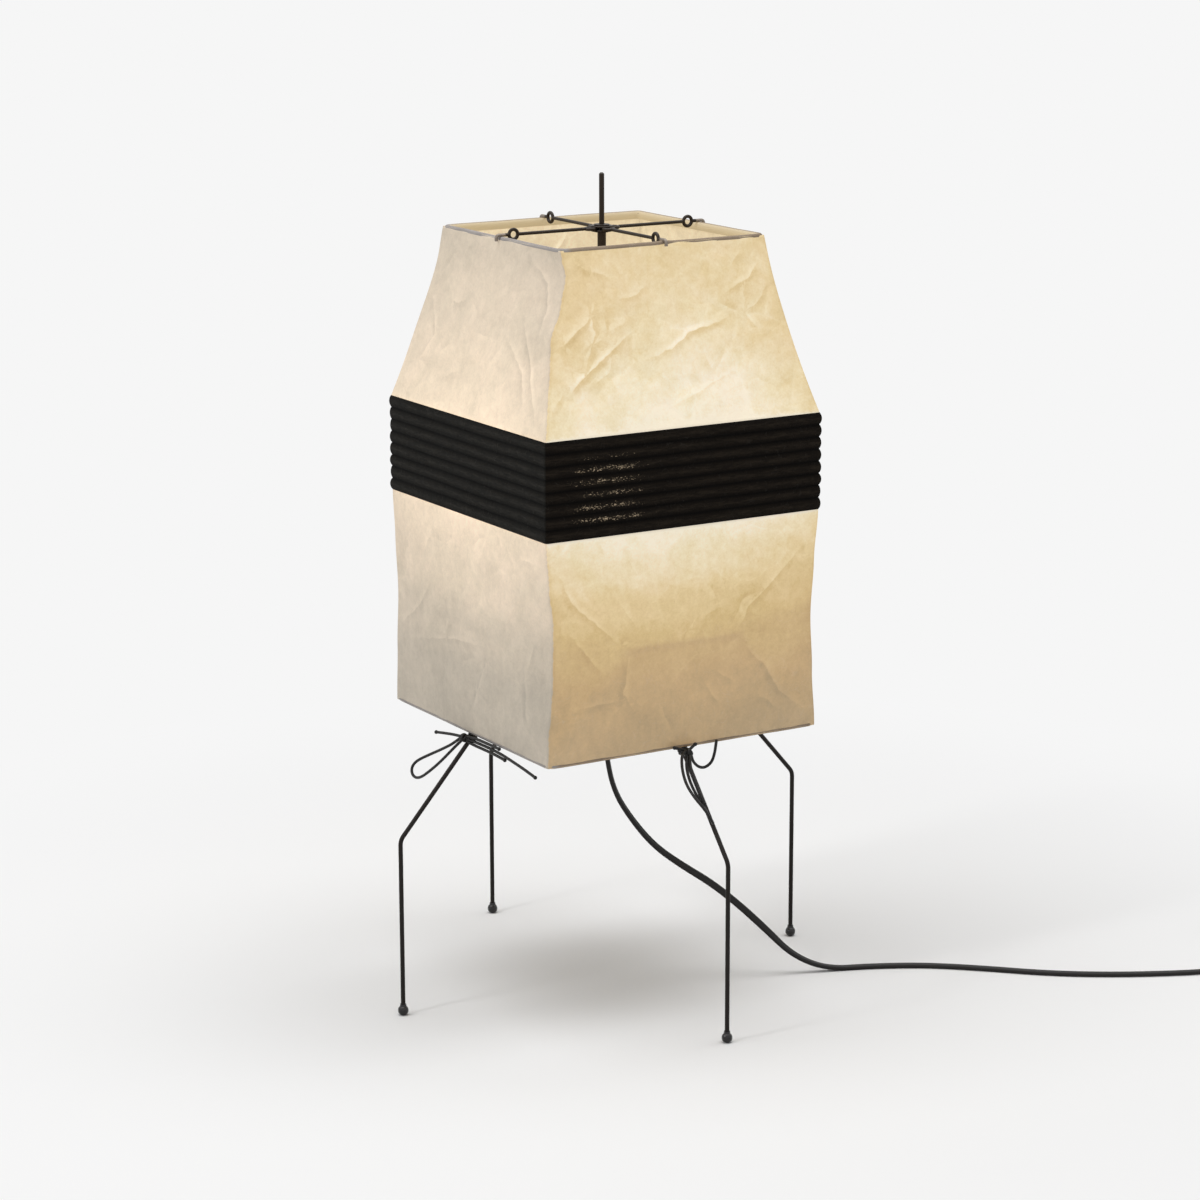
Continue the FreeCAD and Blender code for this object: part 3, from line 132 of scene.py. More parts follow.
def between(table, level):
    """A row of values at a level, eased between a table's rows of level and values."""
    for low, high in zip(table, table[1:]):
        if level <= high[0]:
            share = ease(level, low[0], high[0])
            return [a + (b - a) * share for a, b in zip(low[1:], high[1:])]
    return table[-1][1:]


def ease(value, low, high):
    """0 below the low value and 1 above the high one, and smooth between them."""
    share = min(1, max(0, (value - low) / (high - low)))
    return share * share * (3 - 2 * share)


def route(name, points, tilts):
    """A smooth NURBS line with the points, in metres, as its control points, tilted by degrees."""
    curve = bpy.data.curves.new(name, "CURVE")
    curve.dimensions = "3D"
    spline = curve.splines.new("NURBS")
    spline.points.add(len(points) - 1)
    for control, place in zip(spline.points, points):
        control.co = (*place, 1)
    for control, tilt in zip(spline.points, tilts):
        control.tilt = math.radians(tilt)
    spline.order_u = 3
    spline.use_endpoint_u = True
    spline.resolution_u = 8
    curve.twist_mode = "Z_UP"
    return curve


def made_mesh(curve, name):
    """The curve as a mesh, with its bevel if it has one."""
    holder = bpy.data.objects.new(name + "_holder", curve)
    SCENE.collection.objects.link(holder)
    drawn = holder.evaluated_get(bpy.context.evaluated_depsgraph_get())
    mesh = bpy.data.meshes.new_from_object(drawn)
    bpy.data.objects.remove(holder)
    mesh.name = name
    return mesh


def tube_along(name, points, section=None, radius=0, tilts=()):
    """A tube's mesh along the points, and the line that it follows."""
    curve = route(name, points, tilts)
    line = [v.co.copy() for v in made_mesh(curve, name + "_line").vertices]
    if section:
        curve.bevel_mode = "OBJECT"
        curve.bevel_object = section
    else:
        curve.bevel_depth = radius
        curve.bevel_resolution = 4
    curve.use_fill_caps = True
    mesh = made_mesh(curve, name)
    for face in mesh.polygons:
        face.use_smooth = True
    return mesh, line


class Value:
    """A node's output. Arithmetic on it adds Math nodes, and brackets give its node's other outputs."""

    def __init__(self, socket):
        self.socket, self.tree = socket, socket.id_data

    def __getitem__(self, name):
        return Value(self.socket.node.outputs[name])

    def maths(self, operation, other=0, swapped=False):
        first, second = (other, self) if swapped else (self, other)
        return add(self.tree, "Math", {0: first, 1: second}, operation=operation)

    def clamped(self):
        self.socket.node.use_clamp = True
        return self

    __add__ = __radd__ = partialmethod(maths, "ADD")
    __sub__ = partialmethod(maths, "SUBTRACT")
    __rsub__ = partialmethod(maths, "SUBTRACT", swapped=True)
    __mul__ = __rmul__ = partialmethod(maths, "MULTIPLY")
    __pow__ = partialmethod(maths, "POWER")
    __abs__ = partialmethod(maths, "ABSOLUTE")


def put(node, inputs):
    """Sets a node's inputs: a Value is linked, and anything else is the input's own value."""
    for name, value in inputs.items():
        if isinstance(value, Value):
            value.tree.links.new(value.socket, node.inputs[name])
        else:
            node.inputs[name].default_value = value


def add(tree, kind, inputs=None, **settings):
    """Adds a node and gives its first output."""
    node = tree.nodes.new("ShaderNode" + kind)
    for key, value in settings.items():
        setattr(node, key, value)
    put(node, inputs or {})
    return Value(node.outputs[0])


def tinted(base, share):
    return [min(1, part * share) for part in base]


def ramp(value, stops):
    """A colour ramp through the stops, each a position and a colour."""
    node = add(value.tree, "ValToRGB", {"Fac": value})
    elements = node.socket.node.color_ramp.elements
    while len(elements) < len(stops):
        elements.new(0.5)
    for element, (position, tone) in zip(elements, stops):
        element.position = position
        element.color = (*tone, 1)
    return node


def blended(factor, first, second, way="MIX"):
    """The first colour turned into the second one by a factor. Each is a Value, or red, green and blue."""
    pair = [tone if isinstance(tone, Value) else (*tone, 1) for tone in (first, second)]
    return add(factor.tree, "Mix", {0: factor, 6: pair[0], 7: pair[1]}, data_type="RGBA", blend_type=way)[2]


def noise_at(place, scale, detail=2, rough=0.5, distortion=0):
    return add(place.tree, "TexNoise", {"Vector": place, "Scale": scale, "Detail": detail, "Roughness": rough,
                                        "Distortion": distortion})


def laid(place, **how):
    """A place stretched or turned."""
    return add(place.tree, "Mapping", {"Vector": place, **how})


def vector_maths(operation, place, inputs):
    return add(place.tree, "VectorMath", {0: place, **inputs}, operation=operation)


def height_of(place):
    return add(place.tree, "SeparateXYZ", {0: place})["Z"]


def attributes(tree, *names):
    return [add(tree, "Attribute", attribute_name=name)["Fac"] for name in names]


def spread(value, low, high, first=0, last=1):
    """The value's span from low to high, stretched from first to last."""
    return add(value.tree, "MapRange", {0: value, 1: low, 2: high, 3: first, 4: last})


def weighted(start, *pairs):
    """The start plus other values, each by its weight."""
    return start + sum(value * weight for value, weight in pairs)


def new_group(name, **inputs):
    """Starts a node group. It gives the place that the group is used at."""
    tree = bpy.data.node_groups.new(name, "ShaderNodeTree")
    tree.interface.new_socket("Place", in_out="INPUT", socket_type="NodeSocketVector")
    for label, worth in inputs.items():
        tree.interface.new_socket(label, in_out="INPUT", socket_type="NodeSocketFloat").default_value = worth
    return Value(tree.nodes.new("NodeGroupInput").outputs[0])


def ended(tree, **outputs):
    for label in outputs:
        tree.interface.new_socket(label, in_out="OUTPUT", socket_type="NodeSocketFloat")
    put(tree.nodes.new("NodeGroupOutput"), outputs)
    return tree


def use_group(group, place, **values):
    return add(place.tree, "Group", {"Place": place, **values}, node_tree=group)


# Effects shared by several finishes

def make_grain():
    """Fine moulded grain and broad cloudiness at a scale."""
    place = new_group("fine_grain", Scale=900)
    scale = place["Scale"]
    return ended(place.tree, Grain=noise_at(place, scale, 3), Cloud=noise_at(place, scale * 0.06))


def make_rubbed():
    """Where a finish is rubbed thin: small worn flecks."""
    place = new_group("rubbed_flecks", Scale=300, Amount=0.4)
    flecks, patches = noise_at(place, place["Scale"], 6, 0.7), noise_at(place, place["Scale"] * 0.12)
    cut = flecks * patches - (0.5 - place["Amount"] * 0.4)
    return ended(place.tree, Wear=(cut * 9).clamped())


def make_dust():
    """Pale dust on faces that look up."""
    place = new_group("settled_dust", Amount=0.3)
    up = height_of(add(place.tree, "NewGeometry")["Normal"]).maths("MAXIMUM") ** 3
    specks = ((noise_at(place, 700, 4) - 0.38) * 3).clamped()
    return ended(place.tree, Dust=up * specks * place["Amount"])


def make_fibres():
    """Long hair-like fibres, soft clouds, blots and flakes, and fine pulp grain, as in handmade paper."""
    place = new_group("paper_fibres", Fineness=1)
    hairs = []
    for turn, tilt, scale in ((0.5, 0.2, 34), (-0.7, 1.1, 41), (1.9, -0.6, 29), (2.6, 0.9, 37)):
        lay = laid(place, Rotation=(tilt, turn, turn * 0.7))
        wander = noise_at(lay, place["Fineness"] * scale, 1, distortion=1.6)
        line = (1 - abs(wander - 0.5) * 110).clamped()
        hairs.append(line * ((noise_at(lay, 120) - 0.5) * 9).clamped())
    lines = hairs[0]
    for hair in hairs[1:]:
        lines = lines.maths("MAXIMUM", hair)
    return ended(place.tree, Fibre=lines, Cloud=noise_at(place, 42, 4, 0.62),
                 Pulp=noise_at(place, 640, 3, 0.6), Blot=noise_at(place, 16, 5, 0.7, 0.6),
                 Flake=noise_at(place, 165, 3, 0.7))


def make_wrinkles():
    """A net of pressed creases with painted light and shade along them, the height of the facets between them,
    and a painted shading tone for each facet.
    """
    place = new_group("pressed_wrinkles", Scale=20)
    scale = place["Scale"]
    bend = noise_at(place, scale * 0.9, 3)["Color"]
    sway = vector_maths("SCALE", bend, {3: scale.maths("DIVIDE", 1.1, swapped=True)})
    bent = {"Vector": vector_maths("ADD", place, {1: sway}), "Scale": scale}
    edges = add(place.tree, "TexVoronoi", bent, feature="DISTANCE_TO_EDGE")["Distance"]
    tone = add(place.tree, "SeparateColor", {0: add(place.tree, "TexVoronoi", bent)["Color"]})
    kept = ((noise_at(place, scale * 0.7) - 0.42) * 6).clamped()
    return ended(place.tree, Line=(1 - edges * 13).clamped() ** 2 * kept, Facet=tone - 0.5,
                 Rise=edges.maths("MINIMUM", 0.28))


GRAIN, RUBBED, DUST, FIBRES, WRINKLES = make_grain(), make_rubbed(), make_dust(), make_fibres(), make_wrinkles()


# Finishes

BLACK = (0, 0, 0)
# How far from the axis the arms' hooks become wrapped, in metres
HOOK_REACH = (0.0843, 0.0853)


def started(name):
    """A new finish, and its Object coordinates."""
    finish = bpy.data.materials.new(name)
    finish.use_nodes = True
    return finish, add(finish.node_tree, "TexCoord")["Object"]


def finished(finish, base, rough, bump, level=0.5, lit=None, **more):
    """Feeds a finish's surface shader. The bump is a height, a strength and a distance in millimetres."""
    height, strength, distance = bump
    normal = add(height.tree, "Bump", {"Strength": strength, "Distance": distance * MM, "Height": height})
    inputs = {"Base Color": base, "Roughness": rough, "Normal": normal, "Specular IOR Level": level, **more}
    if lit:
        inputs.update({"Emission Color": lit, "Emission Strength": 1})
    put(finish.node_tree.nodes["Principled BSDF"], inputs)
    return finish


def plain_finish(name, base, wear_and_sheen, rough, wear, bump, dust, scale=900, level=0.5, metallic=0, coat=0,
                 wrapped=False):
    """A lacquer, metal or moulding: grained, clouded, rubbed in flecks and a little dusty.
    Wrapped hook ends, past the hem, have the hem's colour."""
    finish, place = started(name)
    grain = use_group(GRAIN, place, Scale=scale)
    rubbed = use_group(RUBBED, place, Scale=scale * 0.5, Amount=wear)["Wear"]
    fallen = use_group(DUST, place, Amount=dust)["Dust"]
    toned = blended(grain["Cloud"], tinted(base, 0.72), tinted(base, 1.22))
    toned = blended(rubbed, toned, wear_and_sheen)
    toned = blended(fallen, toned, (0.42, 0.4, 0.36))
    if wrapped:
        away = vector_maths("LENGTH", vector_maths("MULTIPLY", place, {1: (1, 1, 0)}), {})["Value"]
        toned = blended(spread(away, *HOOK_REACH), toned, (0.25, 0.21, 0.175))
    return finished(finish, toned, spread(grain["Cloud"], 0, 1, *rough) + fallen * 0.4,
                    (grain["Grain"], 0.5, bump), level,
                    **{"Metallic": metallic, "Coat Weight": coat, "Coat Roughness": 0.06})


def paper_finish(name, inside=False):
    """Cream handmade paper lit from inside. Attributes give the glow, the share of daylight, the fold at the
    corners, and the creases: the gap in millimetres to the nearest crease, signed by its side, and how hard it
    is pressed. The creases and corner folds get painted light and shade, and the daylit side a painted cooler
    base."""
    finish, place = started(name)
    fibre = use_group(FIBRES, place)
    broad, fine = [use_group(WRINKLES, place, Scale=scale) for scale in (21, 72)]
    glow, day, gap, press, edge = attributes(place.tree, "glow", "day", "gap", "press", "edge")
    # Painted light and shade at each crease: lighter on one side, darker on the other, and darker along the
    # crease itself.
    off = abs(gap) * 0.7
    fold = gap.maths("SIGN") * press * (off * (1 - off).maths("EXPONENT"))
    line = (1 - off * 1.6).clamped() * abs(press)
    mottle = sum(spread(fibre[label], low, 1 - low, -size, size) for label, low, size in (
        ("Cloud", 0.3, 0.055), ("Blot", 0.35, 0.065), ("Pulp", 0.3, 0.04), ("Flake", 0.3, 0.06)))
    # Random mottles and fibres, with painted shade along the corner folds and painted crease and facet shading.
    tone_and_crease_shade = weighted(mottle, (fibre["Fibre"], -0.06), (fold, 0.17), (line, -0.16), (edge, -0.1),
                      (broad["Facet"], 0.05), (broad["Line"], 0.06), (fine["Line"], -0.04))
    if inside:
        # Painted glow on the inner face, brighter towards the top.
        glow_to_top = spread(height_of(place), 0.38, 0.47, 0.22, 1)
        seen = blended((tone_and_crease_shade * 3).clamped(), (0.65, 0.545, 0.375), (0.76, 0.67, 0.51))
        lit = blended((glow_to_top * (tone_and_crease_shade + 0.8)).clamped(), BLACK, seen)
    else:
        through = glow + tone_and_crease_shade * (glow + 0.25)
        warm = ramp(through, [
            (0, (0.05, 0.012, 0)), (0.2, (0.2, 0.085, 0)), (0.4, (0.305, 0.185, 0.035)),
            (0.6, (0.41, 0.295, 0.13)), (0.8, (0.485, 0.41, 0.27)), (1, (0.55, 0.505, 0.42)),
        ])
        cool = ramp(through, [(0, (0.035, 0.033, 0.03)), (1, (0.74, 0.57, 0.385))])
        rosy = spread(fibre["Blot"], 0.42, 0.62, 0, 0.7)
        lit = blended(rosy, blended(day, warm, cool), (1, 0.945, 0.97), "MULTIPLY")
    tone = (tone_and_crease_shade * 2.6 + 0.5).clamped()
    # Painted daylight: the side that the window lights has a cooler, greyer base.
    warm_base = blended(tone, (0.455, 0.395, 0.27), (0.54, 0.48, 0.345))
    cool_base = blended(tone, (0.465, 0.41, 0.335), (0.555, 0.5, 0.415))
    base = blended(fibre["Fibre"] * 0.3, blended(day, warm_base, cool_base), (0.64, 0.58, 0.46))
    height = weighted(fibre["Pulp"], (fibre["Fibre"], 0.5), (fibre["Cloud"], 4), (fibre["Flake"], 1.5),
                      (broad["Rise"], 26), (fine["Rise"], 8))
    return finished(finish, base, spread(fibre["Pulp"], 0, 1, 0.78, 0.95), (height, 0.8, 0.12), 0.15, lit)


def hem_finish():
    """The turned hems: grey-brown doubled paper outside, painted greyer on the side the window lights, and
    cream and lit within.
    """
    finish, place = started("hem_paper")
    fibre = use_group(FIBRES, place, Fineness=1.6)
    day, within = attributes(place.tree, "day", "within")
    # Painted daylight: brown on the sides the window doesn't reach, grey on the side it lights.
    brown = blended(fibre["Cloud"], (0.2, 0.145, 0.1), (0.38, 0.3, 0.22))
    grey = blended(fibre["Cloud"], (0.27, 0.245, 0.235), (0.42, 0.39, 0.37))
    base = blended(fibre["Fibre"] * 0.4, blended(day, brown, grey), (0.42, 0.37, 0.3))
    base = blended(within, base, (0.5, 0.44, 0.33))
    lit = blended(within, BLACK, (0.3, 0.235, 0.135))
    return finished(finish, base, spread(fibre["Pulp"], 0, 1, 0.6, 0.85),
                    (fibre["Pulp"] + fibre["Fibre"], 0.6, 0.1), 0.2, lit)


def band_finish():
    """Black dyed paper: dull and fibrous, with painted highlights along the pleats' crests, painted shade in
    their valleys, and specks where light comes through.
    """
    finish, place = started("black_paper")
    fibre = use_group(FIBRES, place, Fineness=1.5)
    streak = noise_at(laid(place, Scale=(1, 1, 8)), 95, 5, 0.7)
    day, crest, thin = attributes(place.tree, "day", "fold", "glow")
    shade = spread(streak, 0.42, 0.72)
    ridge = crest ** 3
    # Painted daylight: the side the window lights is greyer, the others browner.
    base = blended(day, (0.0036, 0.0022, 0.0012), (0.0068, 0.0066, 0.0056))
    # The dye's brown streaks, painted stronger on the pleats' crests where light falls.
    base = blended(shade * (ridge * 0.5 + 0.1), base, (0.028, 0.0215, 0.015))
    base = blended(fibre["Fibre"] * 0.35, base, (0.042, 0.038, 0.033))
    # A painted highlight along the pleats' crests, greyer on the daylit side.
    wear_and_sheen = blended(day, (0.024, 0.018, 0.0125), (0.03, 0.029, 0.026))
    base = blended(crest ** 7 * (shade * 0.75 + 0.18), base, wear_and_sheen)
    # Painted shade in the pleats' valleys.
    valley_shade = (1 - crest * 1.45).clamped()
    base = blended(valley_shade * 0.85, base, (0.0008, 0.0006, 0.0005))
    cell = laid(place, Scale=(1, 1, 2.2))
    level = weighted(noise_at(cell, 560, 2, 0.8), (thin * ridge, 0.22), (noise_at(cell, 120) - 0.5, 0.25))
    specks = ((level - 0.77) * 14).clamped() * (thin * 2).clamped()
    lit = blended(specks, BLACK, (0.33, 0.26, 0.175))
    return finished(finish, base, spread(streak, 0, 1, 0.62, 0.9),
                    (streak * 2 + fibre["Fibre"], 0.9, 0.35), 0.07, lit)


def cord_finish(name, base, strands, rough, bump):
    """A cord's finish on its UV: strands that wind round it, or a smooth sheath with faint lines along it, the
    bands painted lighter as a sheen.
    """
    finish, place = started(name)
    grain = use_group(GRAIN, place, Scale=1800)
    lay = laid(add(place.tree, "TexCoord")["UV"], Scale=strands)
    lines = add(place.tree, "TexWave", {"Vector": lay, "Scale": 1, "Distortion": 0.4, "Detail": 1},
                wave_type="BANDS", bands_direction="DIAGONAL")["Fac"]
    toned = blended(grain["Cloud"], tinted(base, 0.7), tinted(base, 1.5))
    # Painted sheen: the bands lighter than the cord's own colour.
    toned = blended(lines * 0.35, toned, tinted(base, 2.2))
    return finished(finish, toned, spread(grain["Cloud"], 0, 1, *rough),
                    (lines + grain["Grain"] * 0.4, 0.6, bump), 0.26)


def rib_finish():
    """Split bamboo: pale straw with long darker grain."""
    finish, place = started("split_bamboo")
    grain = use_group(GRAIN, place, Scale=1200)
    streak = noise_at(laid(place, Scale=(0.05, 0.05, 3)), 900, 3)
    base = blended(streak, (0.32, 0.23, 0.12), (0.58, 0.47, 0.29))
    return finished(finish, base, spread(grain["Cloud"], 0, 1, 0.45, 0.65), (streak, 0.5, 0.1))


def glass_finish():
    """Opal glass, lit: whitest at its middle, warmer at the neck, with a faint mottled coating."""
    finish, place = started("opal_glass")
    grain = use_group(GRAIN, place, Scale=700)
    clouded = spread(height_of(place), 0.345, 0.4) + (grain["Cloud"] - 0.5) * 0.12
    base = blended(grain["Cloud"], (0.2, 0.19, 0.17), (0.25, 0.24, 0.22))
    lit = ramp(clouded, [(0, (0.5, 0.36, 0.18)), (0.5, (0.68, 0.58, 0.4)), (1, (0.78, 0.72, 0.58))])
    return finished(finish, base, spread(grain["Cloud"], 0, 1, 0.16, 0.24), (grain["Grain"], 0.2, 0.02),
                    lit=lit)


# The plain finishes: colour, worn colour, roughness, wear, bump in millimetres, dust, and what else differs
PLAIN_FINISHES = {
    "black_wire": ((0.0105, 0.0072, 0.0055), (0.05, 0.038, 0.03), (0.34, 0.5), 0.22, 0.03, 0.06,
                   {"level": 0.2}),
    "gloss_bead": ((0.007, 0.006, 0.006), (0.025, 0.02, 0.017), (0.16, 0.28), 0.1, 0.01, 0.06,
                   {"coat": 0.35, "level": 0.3}),
    "dark_metal": ((0.024, 0.0165, 0.0115), (0.15, 0.105, 0.068), (0.34, 0.5), 0.36, 0.03, 0.1,
                   {"metallic": 0.3, "level": 0.3, "wrapped": True}),
    "nickel": ((0.6, 0.58, 0.54), (0.48, 0.45, 0.4), (0.2, 0.36), 0.3, 0.02, 0.05, {"metallic": 1}),
    "black_plastic": ((0.02, 0.02, 0.02), (0.045, 0.045, 0.045), (0.42, 0.58), 0.15, 0.06, 0.12,
                      {"scale": 2600}),
    "porcelain": ((0.78, 0.76, 0.71), (0.66, 0.63, 0.57), (0.14, 0.24), 0.1, 0.01, 0,
                  {"scale": 500, "coat": 0.4}),
    "brass": ((0.72, 0.55, 0.28), (0.48, 0.33, 0.15), (0.22, 0.4), 0.35, 0.02, 0.05, {"metallic": 1}),
    "frame_wire": ((0.21, 0.175, 0.15), (0.34, 0.29, 0.24), (0.4, 0.6), 0.35, 0.03, 0.1, {}),
}
FINISHES = {name: plain_finish(name, *values, **more) for name, (*values, more) in PLAIN_FINISHES.items()}
FINISHES["rib"], FINISHES["opal_glass"] = rib_finish(), glass_finish()
PAPER, PAPER_INSIDE = paper_finish("cream_paper"), paper_finish("cream_paper_inside", inside=True)
BAND, HEM = band_finish(), hem_finish()
WAXED = cord_finish("waxed_cord", (0.0062, 0.0055, 0.005), (0.8, 60, 1), (0.3, 0.44), 0.06)
SHEATH = cord_finish("cord_sheath", (0.0085, 0.0075, 0.007), (2, 1, 1), (0.36, 0.52), 0.04)

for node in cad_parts.values():
    for held in node.material_slots:
        if held.material.name in FINISHES:
            held.material = FINISHES[held.material.name]


# The camera

TARGET, DISTANCE = Vector((0, 0, 0.3001)), 2.6552
azimuth, elevation, roll = [math.radians(angle) for angle in (-31.12, 13.4, -0.12)]
back = Vector((
    math.sin(azimuth) * math.cos(elevation), -math.cos(azimuth) * math.cos(elevation), math.sin(elevation),
))
lens = bpy.data.cameras.new("camera")
lens.lens, lens.sensor_width = 101.8, 36
lens.shift_x, lens.shift_y = -0.0021, 0.0084
SCENE.camera = placed("camera", lens, TARGET + back * DISTANCE, -back, roll)


# The mains cord

def on_cord(along, across, up):
    return Matrix.Rotation(CORD_HEADING, 3, "Z") @ (Vector((along, across, up)) * MM)


def flex_section():
    """Two joined conductors side by side, as the section of twin flex."""
    curve = bpy.data.curves.new("flex_section", "CURVE")
    curve.dimensions = "2D"
    spline = curve.splines.new("POLY")
    spots = []
    for side, first in ((1, -120), (-1, 60)):
        for step in range(9):
            angle = math.radians(first + 30 * step)
            spots.append((side * FLEX_APART + FLEX_RADIUS * math.cos(angle), FLEX_RADIUS * math.sin(angle)))
    spline.points.add(len(spots) - 1)
    for point, (across, up) in zip(spline.points, spots):
        point.co = (across * MM, up * MM, 0, 1)
    spline.use_cyclic_u = True
    section = bpy.data.objects.new("flex_section", curve)
    SCENE.collection.objects.link(section)
    return section


def coil_points():
    """The coil's half turns: inwards on the lower layer, up, and outwards on the upper one."""
    points = []
    half_turns = len(COIL_REACHES) - 1
    lower, upper = COIL_LAYERS
    for step in range(half_turns * COIL_STEPS + 1):
        turn = step / COIL_STEPS
        first = min(int(turn), half_turns - 1)
        reach = COIL_REACHES[first] + (COIL_REACHES[first + 1] - COIL_REACHES[first]) * (turn - first)
        angle = math.pi * (1 - turn)
        points.append((COIL_CENTRE[0] + reach * math.cos(angle), COIL_CENTRE[1] + reach * math.sin(angle),
                       lower + (upper - lower) * ease(turn, 5, 6)))
    return points


SECTION = flex_section()
mesh, line = tube_along("flex_to_switch", [on_cord(*p) for p in CORD_RUN], section=SECTION, tilts=CORD_TILTS)
flex = shown("flex_to_switch", mesh, "stand", SHEATH, ["cord_run"])
wound = CORD_LEAD + coil_points() + CORD_TO_PLUG
mesh, line = tube_along("flex_coil", [on_cord(*p) for p in wound], section=SECTION)
coil = shown("flex_coil", mesh, "stand", SHEATH, ["cord_lead", "cord_coil", "plug_lead"])
bpy.data.objects.remove(SECTION)


def make_coil_tie():
    """A soft strap round the turns, with its tail pressed over itself."""
    bm = bmesh.new()
    near, far, low, high, half_width = 17.4, 37.4, 0.35, 8.6, 2.6
    loop = [
        (near + 2, low), (far - 2, low), (far, low + 2), (far, high - 2), (far - 2, high),
        (near + 2, high), (near, high - 2), (near, low + 2), (near + 2, low),
    ]
    tail = [(near + 2.5, high + 0.75), (near + 9, high + 0.8), (near + 13, high + 1.3)]
    for strip in (loop, tail):
        rims = [[bm.verts.new(on_cord(COIL_CENTRE[0] + half, COIL_CENTRE[1] + across, up))
                 for across, up in strip] for half in (-half_width, half_width)]
        for k in range(len(strip) - 1):
            bm.faces.new([rims[0][k], rims[0][k + 1], rims[1][k + 1], rims[1][k]])
    weld(bm, 0.1)
    strap = shown("coil_tie", bm, "stand", WAXED, ["coil_strap"])
    thickness(strap, 0.6)
    softened = strap.modifiers.new("round", "SUBSURF")
    softened.levels = softened.render_levels = 2


make_coil_tie()


# The paper shade

# The grid columns of each side, and how many of them bend round each end of it
COLUMNS = {"front": 168, "left": 168, "right": 72, "back": 72}
BENDS, FOLD_RADIUS = 3, 1.6

# How far in from its wires and corners a paper is held flat
WIRE_HOLD, CORNER_HOLD = 16, 14
# How much dimmer the paper is at a side's ends, and the brighter rim beside the band: its gain and reach
END_LOSS, RIM_GAIN, RIM_REACH = 0.24, 0.45, 1.1
# How far to the left the lower paper's glow is centred on its front
GLOW_SHIFT = 14
# How far a crease shows, and how many each side has by chance
CREASE_REACH, CHANCE_CREASES = 12, 11

# How far each corner strays from square, as level, x and y. The near corner is at -X and -Y.
UPPER_STRAY = {
    "near": [(464, 0, 0), (500, -1.2, 0.6), (534, -2.2, 1.4), (558, 4.2, 1.6), (578, 6.6, 1.2),
             (592, 2, 0.4), (598, 0, 0)],
    "right": [(464, 0, 0), (520, 0.4, 0.8), (570, 0, 0.8), (598, 0, 0)],
    "far": [(464, 0, 0), (515, -1, 0.6), (565, -1.6, -1), (598, 0, 0)],
    "left": [(464, 0, 0), (515, -0.4, 0), (570, 1.2, -0.8), (598, 0, 0)],
}
LOWER_STRAY = {
    "near": [(218, 0, 0), (240, 0.8, 0.4), (264, 3.8, 0.8), (284, 5.6, 1.4), (328, 6.2, 1.6),
             (352, 2.6, 0.8), (389, 0, 0)],
    "right": [(218, 0, 0), (262, -1.8, 1.8), (306, -3.2, 3.2), (350, -1.8, 1.8), (389, 0, 0)],
    "far": [(218, 0, 0), (268, -2.4, -1.6), (312, -3.8, -3.4), (352, -1.6, -1.6), (389, 0, 0)],
    "left": [(218, 0, 0), (262, 0.8, -0.8), (308, 2, -1.8), (352, 1, -0.8), (389, 0, 0)],
}
# The corners at the two ends of each side
ENDS = {"front": ("near", "right"), "right": ("right", "far"), "back": ("far", "left"),
        "left": ("left", "near")}

# How strongly the bulb shows through, by height, on a side that the bulb rules and on the side by the window
GLOW_LAMP = [(218, 0.16), (262, 0.23), (300, 0.36), (330, 0.54), (360, 0.76), (388, 0.98),
             (464, 1.04), (492, 0.93), (530, 0.77), (570, 0.66), (598, 0.63)]
GLOW_DAY = [(218, 0.02), (262, 0.06), (300, 0.2), (340, 0.42), (388, 0.6),
            (464, 0.66), (500, 0.54), (540, 0.38), (598, 0.23)]
# Each side's share of glow by day and the strength of the lamp's own glow
SIDE_LIGHT = {"front": (0, 1), "right": (0.12, 0.94), "back": (0.3, 0.9), "left": (1, 1)}

# Creases pressed in the paper, per side: lift in millimetres, half width, and points as along and up
UPPER_CREASES = {
    "front": [
        (0.9, 3, [(-122, 466), (-111, 484), (-97, 498)]),
        (1.1, 3.2, [(-92, 496), (-88, 501), (-59, 520), (-31, 537)]),
        (1, 3, [(-32, 513), (-4, 520), (15, 532), (36, 536), (52, 541)]),
        (0.8, 3, [(-113, 522), (-92, 530), (-73, 545), (-65, 561)]),
        (0.6, 2.6, [(-48, 560), (-31, 561), (-18, 569)]),
        (0.8, 3.4, [(45, 555), (73, 568), (83, 579)]),
        (-0.7, 3, [(-76, 562), (-65, 537), (-78, 509)]),
        (0.7, 3, [(-90, 594), (-74, 582), (-49, 575)]),
        (-0.5, 3, [(-54, 519), (-58, 508), (-74, 500)]),
        (0.5, 3.4, [(-18, 476), (23, 491), (55, 503)]),
        (0.6, 3, [(62, 542), (78, 548), (92, 566)]),
    ],
    "left": [
        (0.8, 2.6, [(46, 588), (73, 572), (81, 554), (84, 530)]),
        (0.9, 2.8, [(50, 550), (77, 517), (83, 499), (104, 468)]),
        (0.6, 2.6, [(32, 531), (67, 506), (80, 479)]),
        (0.5, 3, [(-67, 546), (-52, 543), (-35, 547)]),
        (0.5, 3, [(-96, 553), (-72, 518), (-96, 489)]),
    ],
}
